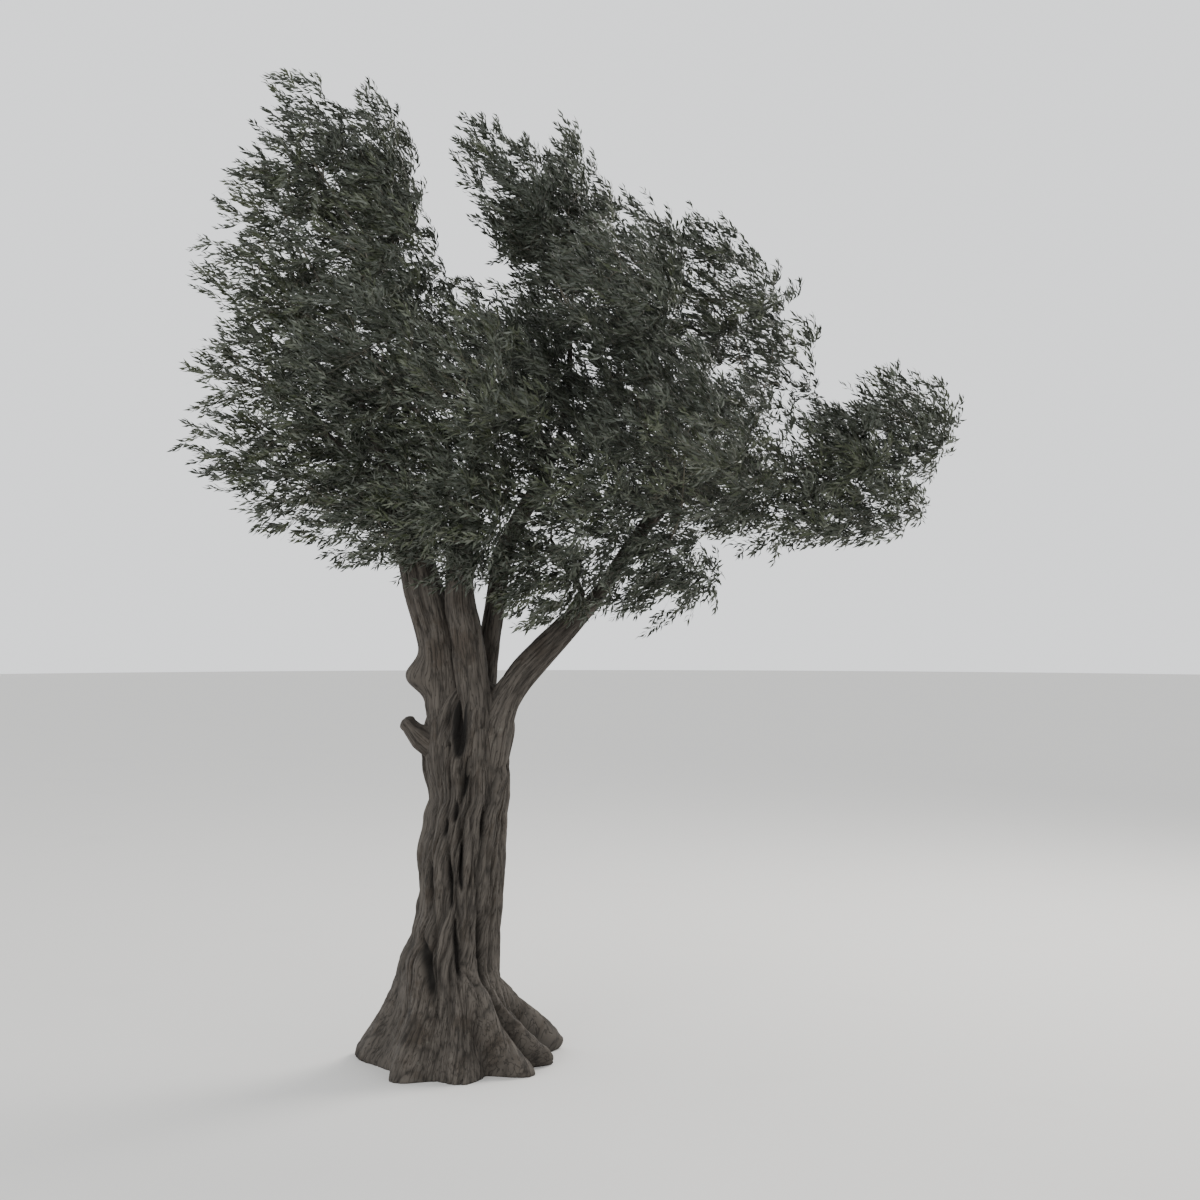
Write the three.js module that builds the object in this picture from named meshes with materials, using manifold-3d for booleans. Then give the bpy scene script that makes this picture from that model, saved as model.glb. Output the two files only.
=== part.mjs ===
// A wind-blown olive tree: a twisted trunk with root flare, its stems and boughs, and their masses of
// leaves. Millimetres, +Z up, origin on the ground under the trunk. The wind blows from +X: the foliage
// streams to -X.
import * as THREE from 'three';
import { mergeVertices } from 'three/addons/utils/BufferGeometryUtils.js';
import Module from 'manifold-3d';

const wasm = await Module();
wasm.setup();

// Driving dimensions
const trunkTop = 2240;
const trunkSides = 24;
const knobSides = 8;
const knobRings = 6;
const seam = 0.3;

// Limbs: those that stand on the trunk have more sides than the boughs. Each leaves its seat squarely and
// then bends.
const stemSides = 10;
const boughSides = 6;
const limbSteps = 4;
const riseShare = 0.6;
const nearlyAlongY = 0.9;

// Wood inside a mass: its own stem and the twigs that fork from it
const massStemRadius = 14;
const massStemSteps = 3;
const twigSides = 3;
const twigRadius = 11;
const twigCollar = 24;
const twigRoom = 22;
const twigSpacing = 250;
const twigsPerMass = 5;
const forkShares = [0.3, 0.5, 0.7];

// Sprays of leaves on the twigs
const spraySpacing = 100;
const spraysTried = 100;
const spraysPerMass = 13;
const sprayLength = { least: 190, usualShare: 1.1, most: 620 };
const sprayWidthShare = 0.72;
const sprayThicknessShare = 0.045;
const sprayWaist = 0.45;
const sprayFoot = 4;
const sprayRolls = [0, 0.3, -0.3];
const rootShares = [0.15, 0.3, 0.45, 0.6, 0.74];
const rootsTried = 9;

// The space of a mass: how far out each kind may lie, as a share of its half sizes, and the room to
// neighbours
const twigZone = 0.7;
const forkZone = 1;
const sprayZone = 1;
const spaceRim = 1.06;
const spaceMargin = 4;
const limbClearance = 5;
const limbPieces = 12;
const clearanceSamples = 6;
const leastSampleShare = 0.1;

// Growth: seeds for the scattered places, and the wind that the shoots stream with
const firstSeed = 1400;
const seedStep = 37;
const scatterTries = 8000;
const windPull = 0.75;
const wind = new THREE.Vector3(-0.86, -0.08, 0.5).normalize();

const barkColour = 0x6a6258;
const leafColour = 0x5f6a52;

const up = new THREE.Vector3(0, 0, 1);
const vector = ([x, y, z]) => new THREE.Vector3(x, y, z);

// Trunk: height, middle and half widths of its body, without the roots
const trunkStations = [
  { z: 0, x: 0, y: 0, across: 325, deep: 300 },
  { z: 400, x: -12, y: 0, across: 298, deep: 275 },
  { z: 650, x: -30, y: 0, across: 286, deep: 262 },
  { z: 830, x: -4, y: 0, across: 264, deep: 250 },
  { z: 1000, x: 26, y: 0, across: 253, deep: 240 },
  { z: 1300, x: 35, y: 5, across: 269, deep: 240 },
  { z: 1540, x: 64, y: 10, across: 252, deep: 232 },
  { z: 1680, x: 92, y: 12, across: 248, deep: 228 },
  { z: 1880, x: 80, y: 15, across: 273, deep: 225 },
  { z: 2165, x: 94, y: 18, across: 290, deep: 222 },
  { z: trunkTop, x: 110, y: 20, across: 318, deep: 222 },
];
const trunkRings = [0, 60, 140, 240, 360, 500, 660, 850, 1060, 1300, 1540, 1710, 1880, 2060, trunkTop];
// Buttress roots: heading in degrees from +X towards +Y, how far they turn as they climb, how far they
// reach past the body, how wide they are, how high they climb and how blunt their ends are
const roots = [
  { heading: 154, turned: 0, reach: 430, spread: 32, climb: 880, bluntness: 1 },
  { heading: 37, turned: -16, reach: 540, spread: 16, climb: 600, bluntness: 1.6 },
  { heading: 6, turned: -42, reach: 300, spread: 13, climb: 600, bluntness: 1.2 },
  { heading: -26, turned: -30, reach: 270, spread: 14, climb: 700, bluntness: 1 },
  { heading: -78, turned: -12, reach: 120, spread: 24, climb: 500, bluntness: 1 },
  { heading: -128, turned: 0, reach: 210, spread: 24, climb: 600, bluntness: 1 },
  { heading: 95, turned: 10, reach: 180, spread: 26, climb: 560, bluntness: 1 },
];
const rootPower = 1.6;
// Strands of the twisted trunk: lobes round it, their depth and how far they wind on the way up
const strands = [
  { lobes: 5, depth: 0.055, phase: 0.6, turns: 0.16 },
  { lobes: 9, depth: 0.022, phase: 2.1, turns: 0.1 },
];

// Burls and cut stubs, each an egg fused to the trunk or to a stem
const knobs = [
  { on: 'trunk', at: [-195, -30, 2066], size: [142, 70, 70], tilt: 34 },
  { on: 'trunk', at: [-286, -34, 2130], size: [46, 56, 58], tilt: 12 },
  { on: 'trunk', at: [318, -120, 1850], size: [60, 70, 105], tilt: 0 },
  { on: 'stem_left', at: [-205, -25, 2400], size: [92, 84, 130], tilt: 8 },
  { on: 'stem_left', at: [-180, -30, 2530], size: [62, 60, 70], tilt: 0 },
];

// Limbs: what carries each, the points it passes and its radius at foot and tip. A stem's first point is
// its place on the trunk's top. A bough's foot is worked out from its seat at the tip of the limb that
// carries it.
const limbs = {
  stem_left: {
    from: 'trunk',
    points: [[-70, 10, trunkTop], [-112, 0, 2640], [-208, -20, 3010], [-300, -40, 3400]],
    radii: [110, 116],
  },
  stem_middle: {
    from: 'trunk',
    points: [[128, -62, trunkTop], [70, -92, 2690], [38, -110, 2900], [50, -150, 3350]],
    radii: [84, 80],
  },
  stem_back: {
    from: 'trunk',
    points: [[165, 118, trunkTop], [226, 150, 2790], [315, 200, 3250], [560, 240, 3700]],
    radii: [72, 56],
  },
  bough_right: {
    from: 'trunk',
    points: [[318, -5, trunkTop], [420, -2, 2400], [683, 0, 2718], [825, 0, 2880]],
    radii: [96, 84],
  },
  bough_right_upper: { from: 'bough_right', points: [[1040, 10, 3150], [1250, 20, 3440]], radii: [58, 62] },
  bough_fork: { from: 'bough_right', points: [[690, -90, 3090], [600, -160, 3260]], radii: [22, 20] },
  bough_top_left: { from: 'stem_left', points: [[-380, 0, 4000], [-330, 90, 4750]], radii: [29, 25] },
  bough_upper_left: { from: 'stem_left', points: [[-520, -110, 3950], [-640, -110, 4450]], radii: [29, 25] },
  bough_left: { from: 'stem_left', points: [[-600, -30, 3720], [-850, 0, 3970]], radii: [29, 24] },
  bough_low_left: { from: 'stem_left', points: [[-400, -190, 3450], [-500, -260, 3430]], radii: [27, 24] },
  bough_rear_left: { from: 'stem_left', points: [[-380, 300, 3800], [-480, 560, 4100]], radii: [29, 24] },
  bough_front_left: { from: 'stem_middle', points: [[-60, -340, 3700], [-180, -470, 4000]], radii: [27, 23] },
  bough_front: { from: 'stem_middle', points: [[200, -320, 3480], [300, -420, 3540]], radii: [27, 23] },
  bough_centre: { from: 'stem_middle', points: [[130, -110, 3700], [190, -120, 3980]], radii: [27, 23] },
  bough_tall: { from: 'stem_back', points: [[690, 170, 4150], [720, 120, 4700]], radii: [23, 23] },
  bough_rear: { from: 'stem_back', points: [[560, 480, 3900], [440, 680, 4080]], radii: [23, 20] },
  bough_inner: { from: 'bough_right_upper', points: [[1230, 40, 3720], [1180, 50, 3980]], radii: [19, 17] },
  bough_right_far: {
    from: 'bough_right_upper',
    points: [[1500, 30, 3560], [1720, 30, 3680]],
    radii: [31, 30],
  },
  bough_low_right: {
    from: 'bough_right_upper',
    points: [[1330, -190, 3440], [1380, -300, 3400]],
    radii: [19, 17],
  },
  bough_rear_right: {
    from: 'bough_right_upper',
    points: [[1330, 300, 3680], [1360, 500, 3850]],
    radii: [19, 17],
  },
  bough_shoulder: { from: 'bough_right_far', points: [[1790, 40, 3850], [1880, 60, 4030]], radii: [13, 13] },
  bough_outer: { from: 'bough_right_far', points: [[1950, 20, 3690], [2150, 0, 3700]], radii: [13, 13] },
};

// Masses of leaves: the bough that carries each, the heart of its space, the space's half sizes and its
// lean to -X
const masses = {
  plume_top_left: { from: 'bough_top_left', heart: [-930, 50, 5690], reach: [295, 480, 520], lean: 14 },
  plume_top_inner: { from: 'bough_top_left', heart: [-500, 130, 5560], reach: [265, 480, 540], lean: 6 },
  plume_top_rear: { from: 'bough_top_left', heart: [-700, 720, 5450], reach: [400, 520, 500], lean: 10 },
  plume_left_upper: { from: 'bough_upper_left', heart: [-1120, -50, 5420], reach: [340, 460, 290], lean: 22 },
  plume_left: { from: 'bough_upper_left', heart: [-1190, -120, 4840], reach: [430, 540, 330], lean: 0 },
  mass_upper_front: { from: 'bough_upper_left', heart: [-500, -330, 4930], reach: [480, 520, 420], lean: 0 },
  mass_left_tip: { from: 'bough_left', heart: [-1300, 0, 4330], reach: [490, 500, 300], lean: 0 },
  mass_left_low: { from: 'bough_left', heart: [-1270, 0, 3820], reach: [440, 500, 270], lean: 0 },
  mass_left_inner: { from: 'bough_left', heart: [-750, -230, 3920], reach: [500, 520, 400], lean: 0 },
  mass_low_left: { from: 'bough_low_left', heart: [-900, -140, 3510], reach: [380, 480, 290], lean: 0 },
  mass_low_inner: { from: 'bough_low_left', heart: [-420, -370, 3360], reach: [380, 440, 310], lean: 0 },
  mass_rear_left: { from: 'bough_rear_left', heart: [-750, 900, 4600], reach: [620, 600, 600], lean: 0 },
  mass_rear_low_left: { from: 'bough_rear_left', heart: [-560, 800, 3750], reach: [600, 560, 450], lean: 0 },
  mass_front_left: { from: 'bough_front_left', heart: [-480, -620, 4350], reach: [480, 560, 500], lean: 0 },
  mass_front_centre: { from: 'bough_front_left', heart: [150, -950, 4150], reach: [480, 520, 480], lean: 0 },
  mass_front_low: { from: 'bough_front', heart: [20, -620, 3430], reach: [430, 520, 500], lean: 0 },
  mass_front_low_right: { from: 'bough_front', heart: [750, -560, 3430], reach: [440, 520, 440], lean: 0 },
  mass_centre: { from: 'bough_centre', heart: [290, -150, 4390], reach: [440, 480, 430], lean: 10 },
  plume_middle: { from: 'bough_tall', heart: [390, 50, 5400], reach: [310, 480, 600], lean: 32 },
  plume_middle_right: { from: 'bough_tall', heart: [700, 100, 5330], reach: [290, 480, 560], lean: 14 },
  plume_middle_rear: { from: 'bough_tall', heart: [620, 750, 5100], reach: [400, 520, 560], lean: 14 },
  mass_rear_middle: { from: 'bough_rear', heart: [200, 1100, 4350], reach: [560, 620, 640], lean: 0 },
  mass_centre_low: { from: 'bough_fork', heart: [650, -150, 3810], reach: [450, 480, 430], lean: 0 },
  mass_fork: { from: 'bough_fork', heart: [510, -440, 2980], reach: [330, 360, 330], lean: 0 },
  plume_right_inner: { from: 'bough_inner', heart: [1150, 50, 4940], reach: [360, 480, 530], lean: 18 },
  mass_centre_right: { from: 'bough_inner', heart: [960, -120, 4280], reach: [420, 500, 460], lean: 14 },
  mass_front_upper: { from: 'bough_inner', heart: [950, -720, 4750], reach: [430, 480, 430], lean: 18 },
  plume_right_outer: { from: 'bough_shoulder', heart: [1650, 0, 4830], reach: [390, 480, 480], lean: 22 },
  mass_right_shoulder: { from: 'bough_shoulder', heart: [1980, 60, 4450], reach: [290, 460, 430], lean: 14 },
  mass_right_tip: { from: 'bough_outer', heart: [2765, 0, 3990], reach: [440, 440, 410], lean: 22 },
  mass_right_arm: { from: 'bough_outer', heart: [2310, -60, 3790], reach: [400, 480, 330], lean: 8 },
  mass_right_low: { from: 'bough_outer', heart: [2470, -20, 3500], reach: [410, 430, 300], lean: 0 },
  mass_right_inner: { from: 'bough_right_far', heart: [1840, -220, 3620], reach: [430, 520, 450], lean: 0 },
  mass_right_droop: { from: 'bough_low_right', heart: [1220, -380, 2990], reach: [390, 430, 330], lean: 0 },
  mass_front_right: { from: 'bough_low_right', heart: [1400, -750, 3850], reach: [520, 560, 500], lean: 0 },
  mass_rear_right: { from: 'bough_rear_right', heart: [1350, 850, 4300], reach: [620, 620, 620], lean: 0 },
  mass_rear_low_right: {
    from: 'bough_rear_right',
    heart: [1450, 750, 3600],
    reach: [600, 520, 400],
    lean: 0,
  },
};

function seededRandom(seed) {
  let state = seed;
  return () => {
    state = (state + 0x6d2b79f5) | 0;
    let t = Math.imul(state ^ (state >>> 15), 1 | state);
    t = (t + Math.imul(t ^ (t >>> 7), 61 | t)) ^ t;
    return ((t ^ (t >>> 14)) >>> 0) / 4294967296;
  };
}

// Two directions square to the axis, the first as near as can be to the hint
function crossAxes(axis, hint) {
  const first = hint.clone().addScaledVector(axis, -hint.dot(axis)).normalize();
  return [first, new THREE.Vector3().crossVectors(axis, first)];
}

// A closed skin over rings that all have the same number of points, with a fan over each end
function skin(rings) {
  const sides = rings[0].length;
  const corners = rings.flat();
  const index = [];
  for (let ring = 0; ring < rings.length - 1; ring++) {
    for (let side = 0; side < sides; side++) {
      const a = ring * sides + side;
      const b = ring * sides + ((side + 1) % sides);
      index.push(a, b, b + sides, a, b + sides, a + sides);
    }
  }
  for (const [ring, outward] of [[0, false], [rings.length - 1, true]]) {
    const middle = corners.length;
    corners.push(rings[ring].reduce((sum, p) => sum.add(p), new THREE.Vector3()).divideScalar(sides));
    for (let side = 0; side < sides; side++) {
      const a = ring * sides + side;
      const b = ring * sides + ((side + 1) % sides);
      index.push(...(outward ? [a, b, middle] : [b, a, middle]));
    }
  }
  const geometry = new THREE.BufferGeometry().setFromPoints(corners);
  geometry.setIndex(index);
  return geometry;
}

function solidOf(geometry) {
  const bare = geometry.clone();
  bare.deleteAttribute('normal');
  bare.deleteAttribute('uv');
  const merged = mergeVertices(bare);
  return new wasm.Manifold(new wasm.Mesh({
    numProp: 3,
    vertProperties: new Float32Array(merged.attributes.position.array),
    triVerts: new Uint32Array(merged.index.array),
  }));
}

// The one largest body of a union: loose scraps and sealed hollows are left out
function fuse(solids) {
  const pieces = wasm.Manifold.union(solids).decompose();
  return pieces.reduce((best, piece) => (piece.volume() > best.volume() ? piece : best));
}

function geometryOf(solid) {
  const mesh = solid.getMesh();
  const geometry = new THREE.BufferGeometry();
  geometry.setAttribute('position', new THREE.BufferAttribute(mesh.vertProperties, 3));
  geometry.setIndex(new THREE.BufferAttribute(mesh.triVerts, 1));
  return geometry;
}

function between(stations, z) {
  const next = Math.max(1, stations.findIndex((station) => station.z >= z));
  const [low, high] = [stations[next - 1], stations[next]];
  const share = THREE.MathUtils.smoothstep(z, low.z, high.z);
  const mix = (key) => THREE.MathUtils.lerp(low[key], high[key], share);
  return { x: mix('x'), y: mix('y'), across: mix('across'), deep: mix('deep') };
}

// How far the trunk's surface stands out at a height and heading: body, strands and roots
function trunkPoint(z, angle) {
  const body = between(trunkStations, z);
  let swell = 1;
  for (const { lobes, depth, phase, turns } of strands) {
    swell += depth * Math.cos(lobes * (angle - turns * 2 * Math.PI * (z / trunkTop)) + phase);
  }
  let reach = 0;
  for (const { heading, turned, reach: most, spread, climb, bluntness } of roots) {
    const away = THREE.MathUtils.radToDeg(angle) - heading - turned * (z / climb);
    const turn = THREE.MathUtils.euclideanModulo(away + 180, 360) - 180;
    const fade = Math.max(0, 1 - (z / climb) ** bluntness) ** rootPower;
    reach += most * fade * Math.exp(-((turn / spread) ** 2));
  }
  return new THREE.Vector3(
    body.x + (body.across * swell + reach) * Math.cos(angle),
    body.y + (body.deep * swell + reach) * Math.sin(angle),
    z,
  );
}

function trunkSkin() {
  return skin(trunkRings.map((z) => Array.from({ length: trunkSides }, (_, side) => (
    trunkPoint(z, (side / trunkSides) * 2 * Math.PI)
  ))));
}

function knobSkin({ at, size, tilt }) {
  const egg = new THREE.SphereGeometry(1, knobSides, knobRings);
  egg.scale(...size);
  egg.rotateY(THREE.MathUtils.degToRad(tilt));
  egg.translate(...at);
  return egg;
}

// A round tapering limb along a curve. Its foot lies in the plane that the facing direction gives.
function limbSkin({ curve, radii, facing, sides, steps }) {
  let hint = Math.abs(facing.y) > nearlyAlongY ? new THREE.Vector3(1, 0, 0) : new THREE.Vector3(0, 1, 0);
  const rings = [];
  for (let step = 0; step <= steps; step++) {
    const share = step / steps;
    const axis = step === 0 ? facing : curve.getTangent(share);
    const [first, second] = crossAxes(axis, hint);
    hint = first;
    const radius = THREE.MathUtils.lerp(...radii, share);
    rings.push(Array.from({ length: sides }, (_, side) => {
      const angle = (side / sides) * 2 * Math.PI;
      return curve.getPoint(share)
        .addScaledVector(first, radius * Math.cos(angle))
        .addScaledVector(second, radius * Math.sin(angle));
    }));
  }
  return skin(rings);
}

// Seats for all that one limb's tip carries, evenly round the tip's face. The one that turns off most takes
// its seat first, and each of the others the free seat nearest to its heading.
function seatsAt(tip, children) {
  const [first, second] = crossAxes(tip.axis, tip.hint);
  const headed = children.map((child) => {
    const way = child.aim.clone().sub(tip.point).normalize();
    const [ahead, aside] = [way.dot(first), way.dot(second)];
    return { ...child, heading: Math.atan2(aside, ahead), turn: Math.hypot(aside, ahead) };
  }).sort((a, b) => b.turn - a.turn);
  const free = headed.map((_, order) => headed[0].heading + (order / headed.length) * 2 * Math.PI);
  return headed.map((child) => {
    free.sort((a, b) => Math.cos(b - child.heading) - Math.cos(a - child.heading));
    const angle = free.shift();
    const offset = headed.length === 1 ? 0 : tip.radius - child.radius - seam;
    const point = tip.point.clone()
      .addScaledVector(tip.axis, seam)
      .addScaledVector(first, offset * Math.cos(angle))
      .addScaledVector(second, offset * Math.sin(angle));
    return { name: child.name, point };
  });
}

// Lays out every limb and the stem of every mass, from the trunk outwards
function layOut() {
  const laid = {};
  const place = (name, seat, facing, radii, points, sides) => {
    const rise = seat.clone().addScaledVector(facing, riseShare * radii[0]);
    const curve = new THREE.CatmullRomCurve3([seat, rise, ...points.map(vector)]);
    const axis = curve.getTangent(1);
    const tip = { point: curve.getPoint(1), axis, hint: wind, radius: radii[1] };
    laid[name] = { name, curve, radii, facing, sides, tip };
  };
  for (const [name, { from, points, radii }] of Object.entries(limbs)) {
    if (from !== 'trunk') {
      continue;
    }
    const [seat, ...rest] = points;
    place(name, vector(seat).addScaledVector(up, seam), up, radii, rest, stemSides);
  }
  const wanted = [...Object.entries(limbs), ...Object.entries(masses)];
  for (const carrier of Object.keys(limbs)) {
    const children = wanted.filter(([, entry]) => entry.from === carrier).map(([name, entry]) => ({
      name,
      aim: vector(entry.heart ?? entry.points[0]),
      radius: entry.heart ? massStemRadiusAt(carrier) : entry.radii[0],
    }));
    for (const { name, point } of seatsAt(laid[carrier].tip, children)) {
      const { points, radii, heart } = limbs[name] ?? masses[name];
      const { axis } = laid[carrier].tip;
      if (heart) {
        const radius = massStemRadiusAt(carrier);
        place(name, point, axis, [radius, radius], [heart], twigSides);
      } else {
        place(name, point, axis, radii, points, boughSides);
      }
    }
  }
  return laid;
}

// A mass's stem is slimmer where several share the tip of a thin bough
function massStemRadiusAt(carrier) {
  const carried = [...Object.values(limbs), ...Object.values(masses)].filter(({ from }) => from === carrier);
  const slice = Math.sin(Math.PI / carried.length);
  const room = carried.length === 1 ? 1 : slice / (1 + slice);
  return Math.min(massStemRadius, limbs[carrier].radii[1] * room - 1);
}

// The space of a mass: a leaning egg, cut by a flat boundary towards each neighbour
function spaceOf(name) {
  const { heart, reach, lean } = masses[name];
  const middle = vector(heart);
  const turn = new THREE.Matrix4().makeRotationY(THREE.MathUtils.degToRad(lean));
  const norm = (offset) => {
    const turned = offset.clone().applyMatrix4(turn);
    return Math.hypot(turned.x / reach[0], turned.y / reach[1], turned.z / reach[2]);
  };
  return { name, middle, norm, walls: [] };
}

function partition(spaces) {
  for (const space of spaces) {
    for (const other of spaces.filter((each) => each !== space)) {
      const gap = other.middle.clone().sub(space.middle);
      const apart = gap.length();
      const way = gap.divideScalar(apart);
      const own = 1 / space.norm(way);
      const share = own / (own + 1 / other.norm(way));
      space.walls.push({ way, limit: apart * share - spaceMargin });
    }
  }
}

function inSpace(space, point, zone, spare) {
  const offset = point.clone().sub(space.middle);
  const inWalls = space.walls.every(({ way, limit }) => offset.dot(way) + spare <= limit);
  return inWalls && space.norm(offset) <= zone;
}

// Short straight pieces of a limb, each with its radius, to keep leaves off it
function piecesOf({ curve, radii }) {
  return Array.from({ length: limbPieces }, (_, piece) => ({
    line: new THREE.Line3(curve.getPoint(piece / limbPieces), curve.getPoint((piece + 1) / limbPieces)),
    radius: Math.max(...radii),
  }));
}

// True when a leaf or twig from one point to another, that thick halfway, keeps off all the pieces
function keepsOff(pieces, from, to, halfWidth) {
  const near = new THREE.Vector3();
  for (let sample = 0; sample <= clearanceSamples; sample++) {
    const share = sample / clearanceSamples;
    const point = from.clone().lerp(to, share);
    const need = halfWidth * Math.sin(Math.PI * Math.max(share, leastSampleShare)) + limbClearance;
    for (const { line, radius } of pieces) {
      line.closestPointToPoint(point, true, near);
      if (near.distanceTo(point) < radius + need) {
        return false;
      }
    }
  }
  return true;
}

// Points spread through a space, no two nearer than the spacing
function scatter(random, space, reach, zone, spacing, wanted, spare) {
  const points = [];
  for (let attempt = 0; attempt < scatterTries && points.length < wanted; attempt++) {
    const offset = new THREE.Vector3(random() * 2 - 1, random() * 2 - 1, random() * 2 - 1);
    const point = space.middle.clone().addScaledVector(offset, Math.max(...reach));
    if (inSpace(space, point, zone, spare) && points.every((other) => other.distanceTo(point) >= spacing)) {
      points.push(point);
    }
  }
  return points;
}

// Places along the wood, each with the direction of its twig, in order of how well they suit a shoot of
// about the usual length to a target. A shoot that streams with the wind costs less.
function bestRoots(runs, shares, target, usual) {
  const cost = ({ root }) => {
    const way = target.clone().sub(root);
    const length = way.length();
    return Math.abs(length - usual) + windPull * (length - way.dot(wind));
  };
  return runs
    .flatMap((line, run) => shares.map((share) => (
      { run, root: line.at(share, new THREE.Vector3()), along: line.delta(new THREE.Vector3()).normalize() }
    )))
    .sort((a, b) => cost(a) - cost(b));
}

// A closed body from its corners and the corners of each of its faces
function facesSolid(corners, faces) {
  const geometry = new THREE.BufferGeometry().setFromPoints(corners);
  geometry.setIndex(faces);
  return solidOf(geometry);
}

// A three-sided twig: its foot is a point inside the wood that it leaves, and it tapers from its collar to
// its tip
function twigSolid(from, to) {
  const axis = to.clone().sub(from).normalize();
  const [first, second] = crossAxes(axis, wind);
  const collar = Array.from({ length: twigSides }, (_, side) => {
    const angle = (side / twigSides) * 2 * Math.PI;
    return from.clone()
      .addScaledVector(axis, twigCollar)
      .addScaledVector(first, twigRadius * Math.cos(angle))
      .addScaledVector(second, twigRadius * Math.sin(angle));
  });
  return facesSolid([from, to, ...collar], [0, 3, 2, 0, 4, 3, 0, 2, 4, 1, 2, 3, 1, 3, 4, 1, 4, 2]);
}

// A spray of leaves as one leaf-shaped blade, its root sunk past the middle of its twig. Its plane holds
// the twig, but for the roll.
function sprayCorners(root, tip, along, roll) {
  const axis = tip.clone().sub(root).normalize();
  const length = root.distanceTo(tip);
  const [level, square] = crossAxes(axis, along);
  const across = level.multiplyScalar(Math.cos(roll)).addScaledVector(square, Math.sin(roll));
  const through = new THREE.Vector3().crossVectors(axis, across);
  const foot = root.clone().addScaledVector(axis, -sprayFoot);
  const waist = root.clone().lerp(tip, sprayWaist);
  const half = (way, share) => way.clone().multiplyScalar((length * share) / 2);
  return [
    foot,
    tip,
    waist.clone().add(half(across, sprayWidthShare)),
    waist.clone().sub(half(across, sprayWidthShare)),
    waist.clone().add(half(through, sprayThicknessShare)),
    waist.clone().sub(half(through, sprayThicknessShare)),
  ];
}

function spraySolid(corners) {
  return facesSolid(corners, [0, 4, 2, 0, 3, 4, 0, 5, 3, 0, 2, 5, 1, 2, 4, 1, 4, 3, 1, 3, 5, 1, 5, 2]);
}

// A spray that ends at a tip, keeps to its space and crosses nothing but its own twig, or nothing where
// none fits
function fittingSpray({ space, others, wood, runs, sprays, tip }) {
  const usual = sprayLength.usualShare * Math.min(...masses[space.name].reach);
  for (const { root, run, along } of bestRoots(runs, rootShares, tip, usual).slice(0, rootsTried)) {
    const length = root.distanceTo(tip);
    const reaches = length >= sprayLength.least && length <= sprayLength.most;
    if (!reaches || !keepsOff(others, root, tip, (length * sprayWidthShare) / 2)) {
      continue;
    }
    const neighbours = [...sprays, ...wood.filter((_, order) => order !== run)];
    for (const roll of sprayRolls) {
      const corners = sprayCorners(root, tip, along, roll);
      if (corners.every((corner) => inSpace(space, corner, spaceRim, 0))) {
        const spray = spraySolid(corners);
        if (neighbours.every((solid) => solid.intersect(spray).isEmpty())) {
          return spray;
        }
      }
    }
  }
  return null;
}

// Grows one mass: its stem, the twigs that branch from it and the sprays of leaves on them
function growMass(order, space) {
  const { name } = space;
  const random = seededRandom(firstSeed + seedStep * order);
  const { reach } = masses[name];
  const own = laid[name];
  const others = Object.values(laid).filter((limb) => limb.name !== name).flatMap((limb) => piecesOf(limb));
  const wood = [solidOf(limbSkin({ ...own, steps: massStemSteps }))];
  const runs = [new THREE.Line3(own.curve.getPoint(1 - 1 / massStemSteps), own.curve.getPoint(1))];
  const twigEnds = scatter(random, space, reach, twigZone, twigSpacing, twigsPerMass, twigRoom)
    .sort((a, b) => a.distanceTo(space.middle) - b.distanceTo(space.middle));
  for (const end of twigEnds) {
    const fork = bestRoots(runs, forkShares, end, 0).find(({ root }) => (
      inSpace(space, root, forkZone, twigRadius) && keepsOff(others, root, end, twigRoom)
    ));
    if (fork) {
      wood.push(twigSolid(fork.root, end));
      runs.push(new THREE.Line3(fork.root, end));
    }
  }
  const tips = scatter(random, space, reach, sprayZone, spraySpacing, spraysTried, spaceMargin)
    .sort((a, b) => space.norm(b.clone().sub(space.middle)) - space.norm(a.clone().sub(space.middle)));
  const sprays = [];
  for (const tip of tips) {
    const spray = fittingSpray({ space, others, wood, runs, sprays, tip });
    if (spray && sprays.length < spraysPerMass) {
      sprays.push(spray);
    }
  }
  return fuse([...wood, ...sprays]);
}

const laid = layOut();
const spaces = Object.keys(masses).map(spaceOf);
partition(spaces);

const olive = new THREE.Group();
olive.name = 'olive_tree';
const bark = new THREE.MeshStandardMaterial({ color: barkColour, roughness: 0.95, metalness: 0 });
const leaf = new THREE.MeshStandardMaterial({ color: leafColour, roughness: 0.6, metalness: 0 });

function addMesh(name, solid, material) {
  const mesh = new THREE.Mesh(geometryOf(solid), material);
  mesh.name = name;
  olive.add(mesh);
}

function knobsOn(name) {
  return knobs.filter((knob) => knob.on === name).map((knob) => solidOf(knobSkin(knob)));
}

addMesh('trunk', fuse([solidOf(trunkSkin()), ...knobsOn('trunk')]), bark);
for (const name of Object.keys(limbs)) {
  const limb = solidOf(limbSkin({ ...laid[name], steps: limbSteps }));
  addMesh(name, fuse([limb, ...knobsOn(name)]), bark);
}
spaces.forEach((space, order) => {
  addMesh(space.name, growMass(order, space), leaf);
});

export default olive;
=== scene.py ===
# Wind-blown olive tree: bark relief on trunk, stems and boughs, then twigs and leaves grown on from them
import math
import bpy
import numpy as np
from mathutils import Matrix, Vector
from mathutils.kdtree import KDTree


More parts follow.
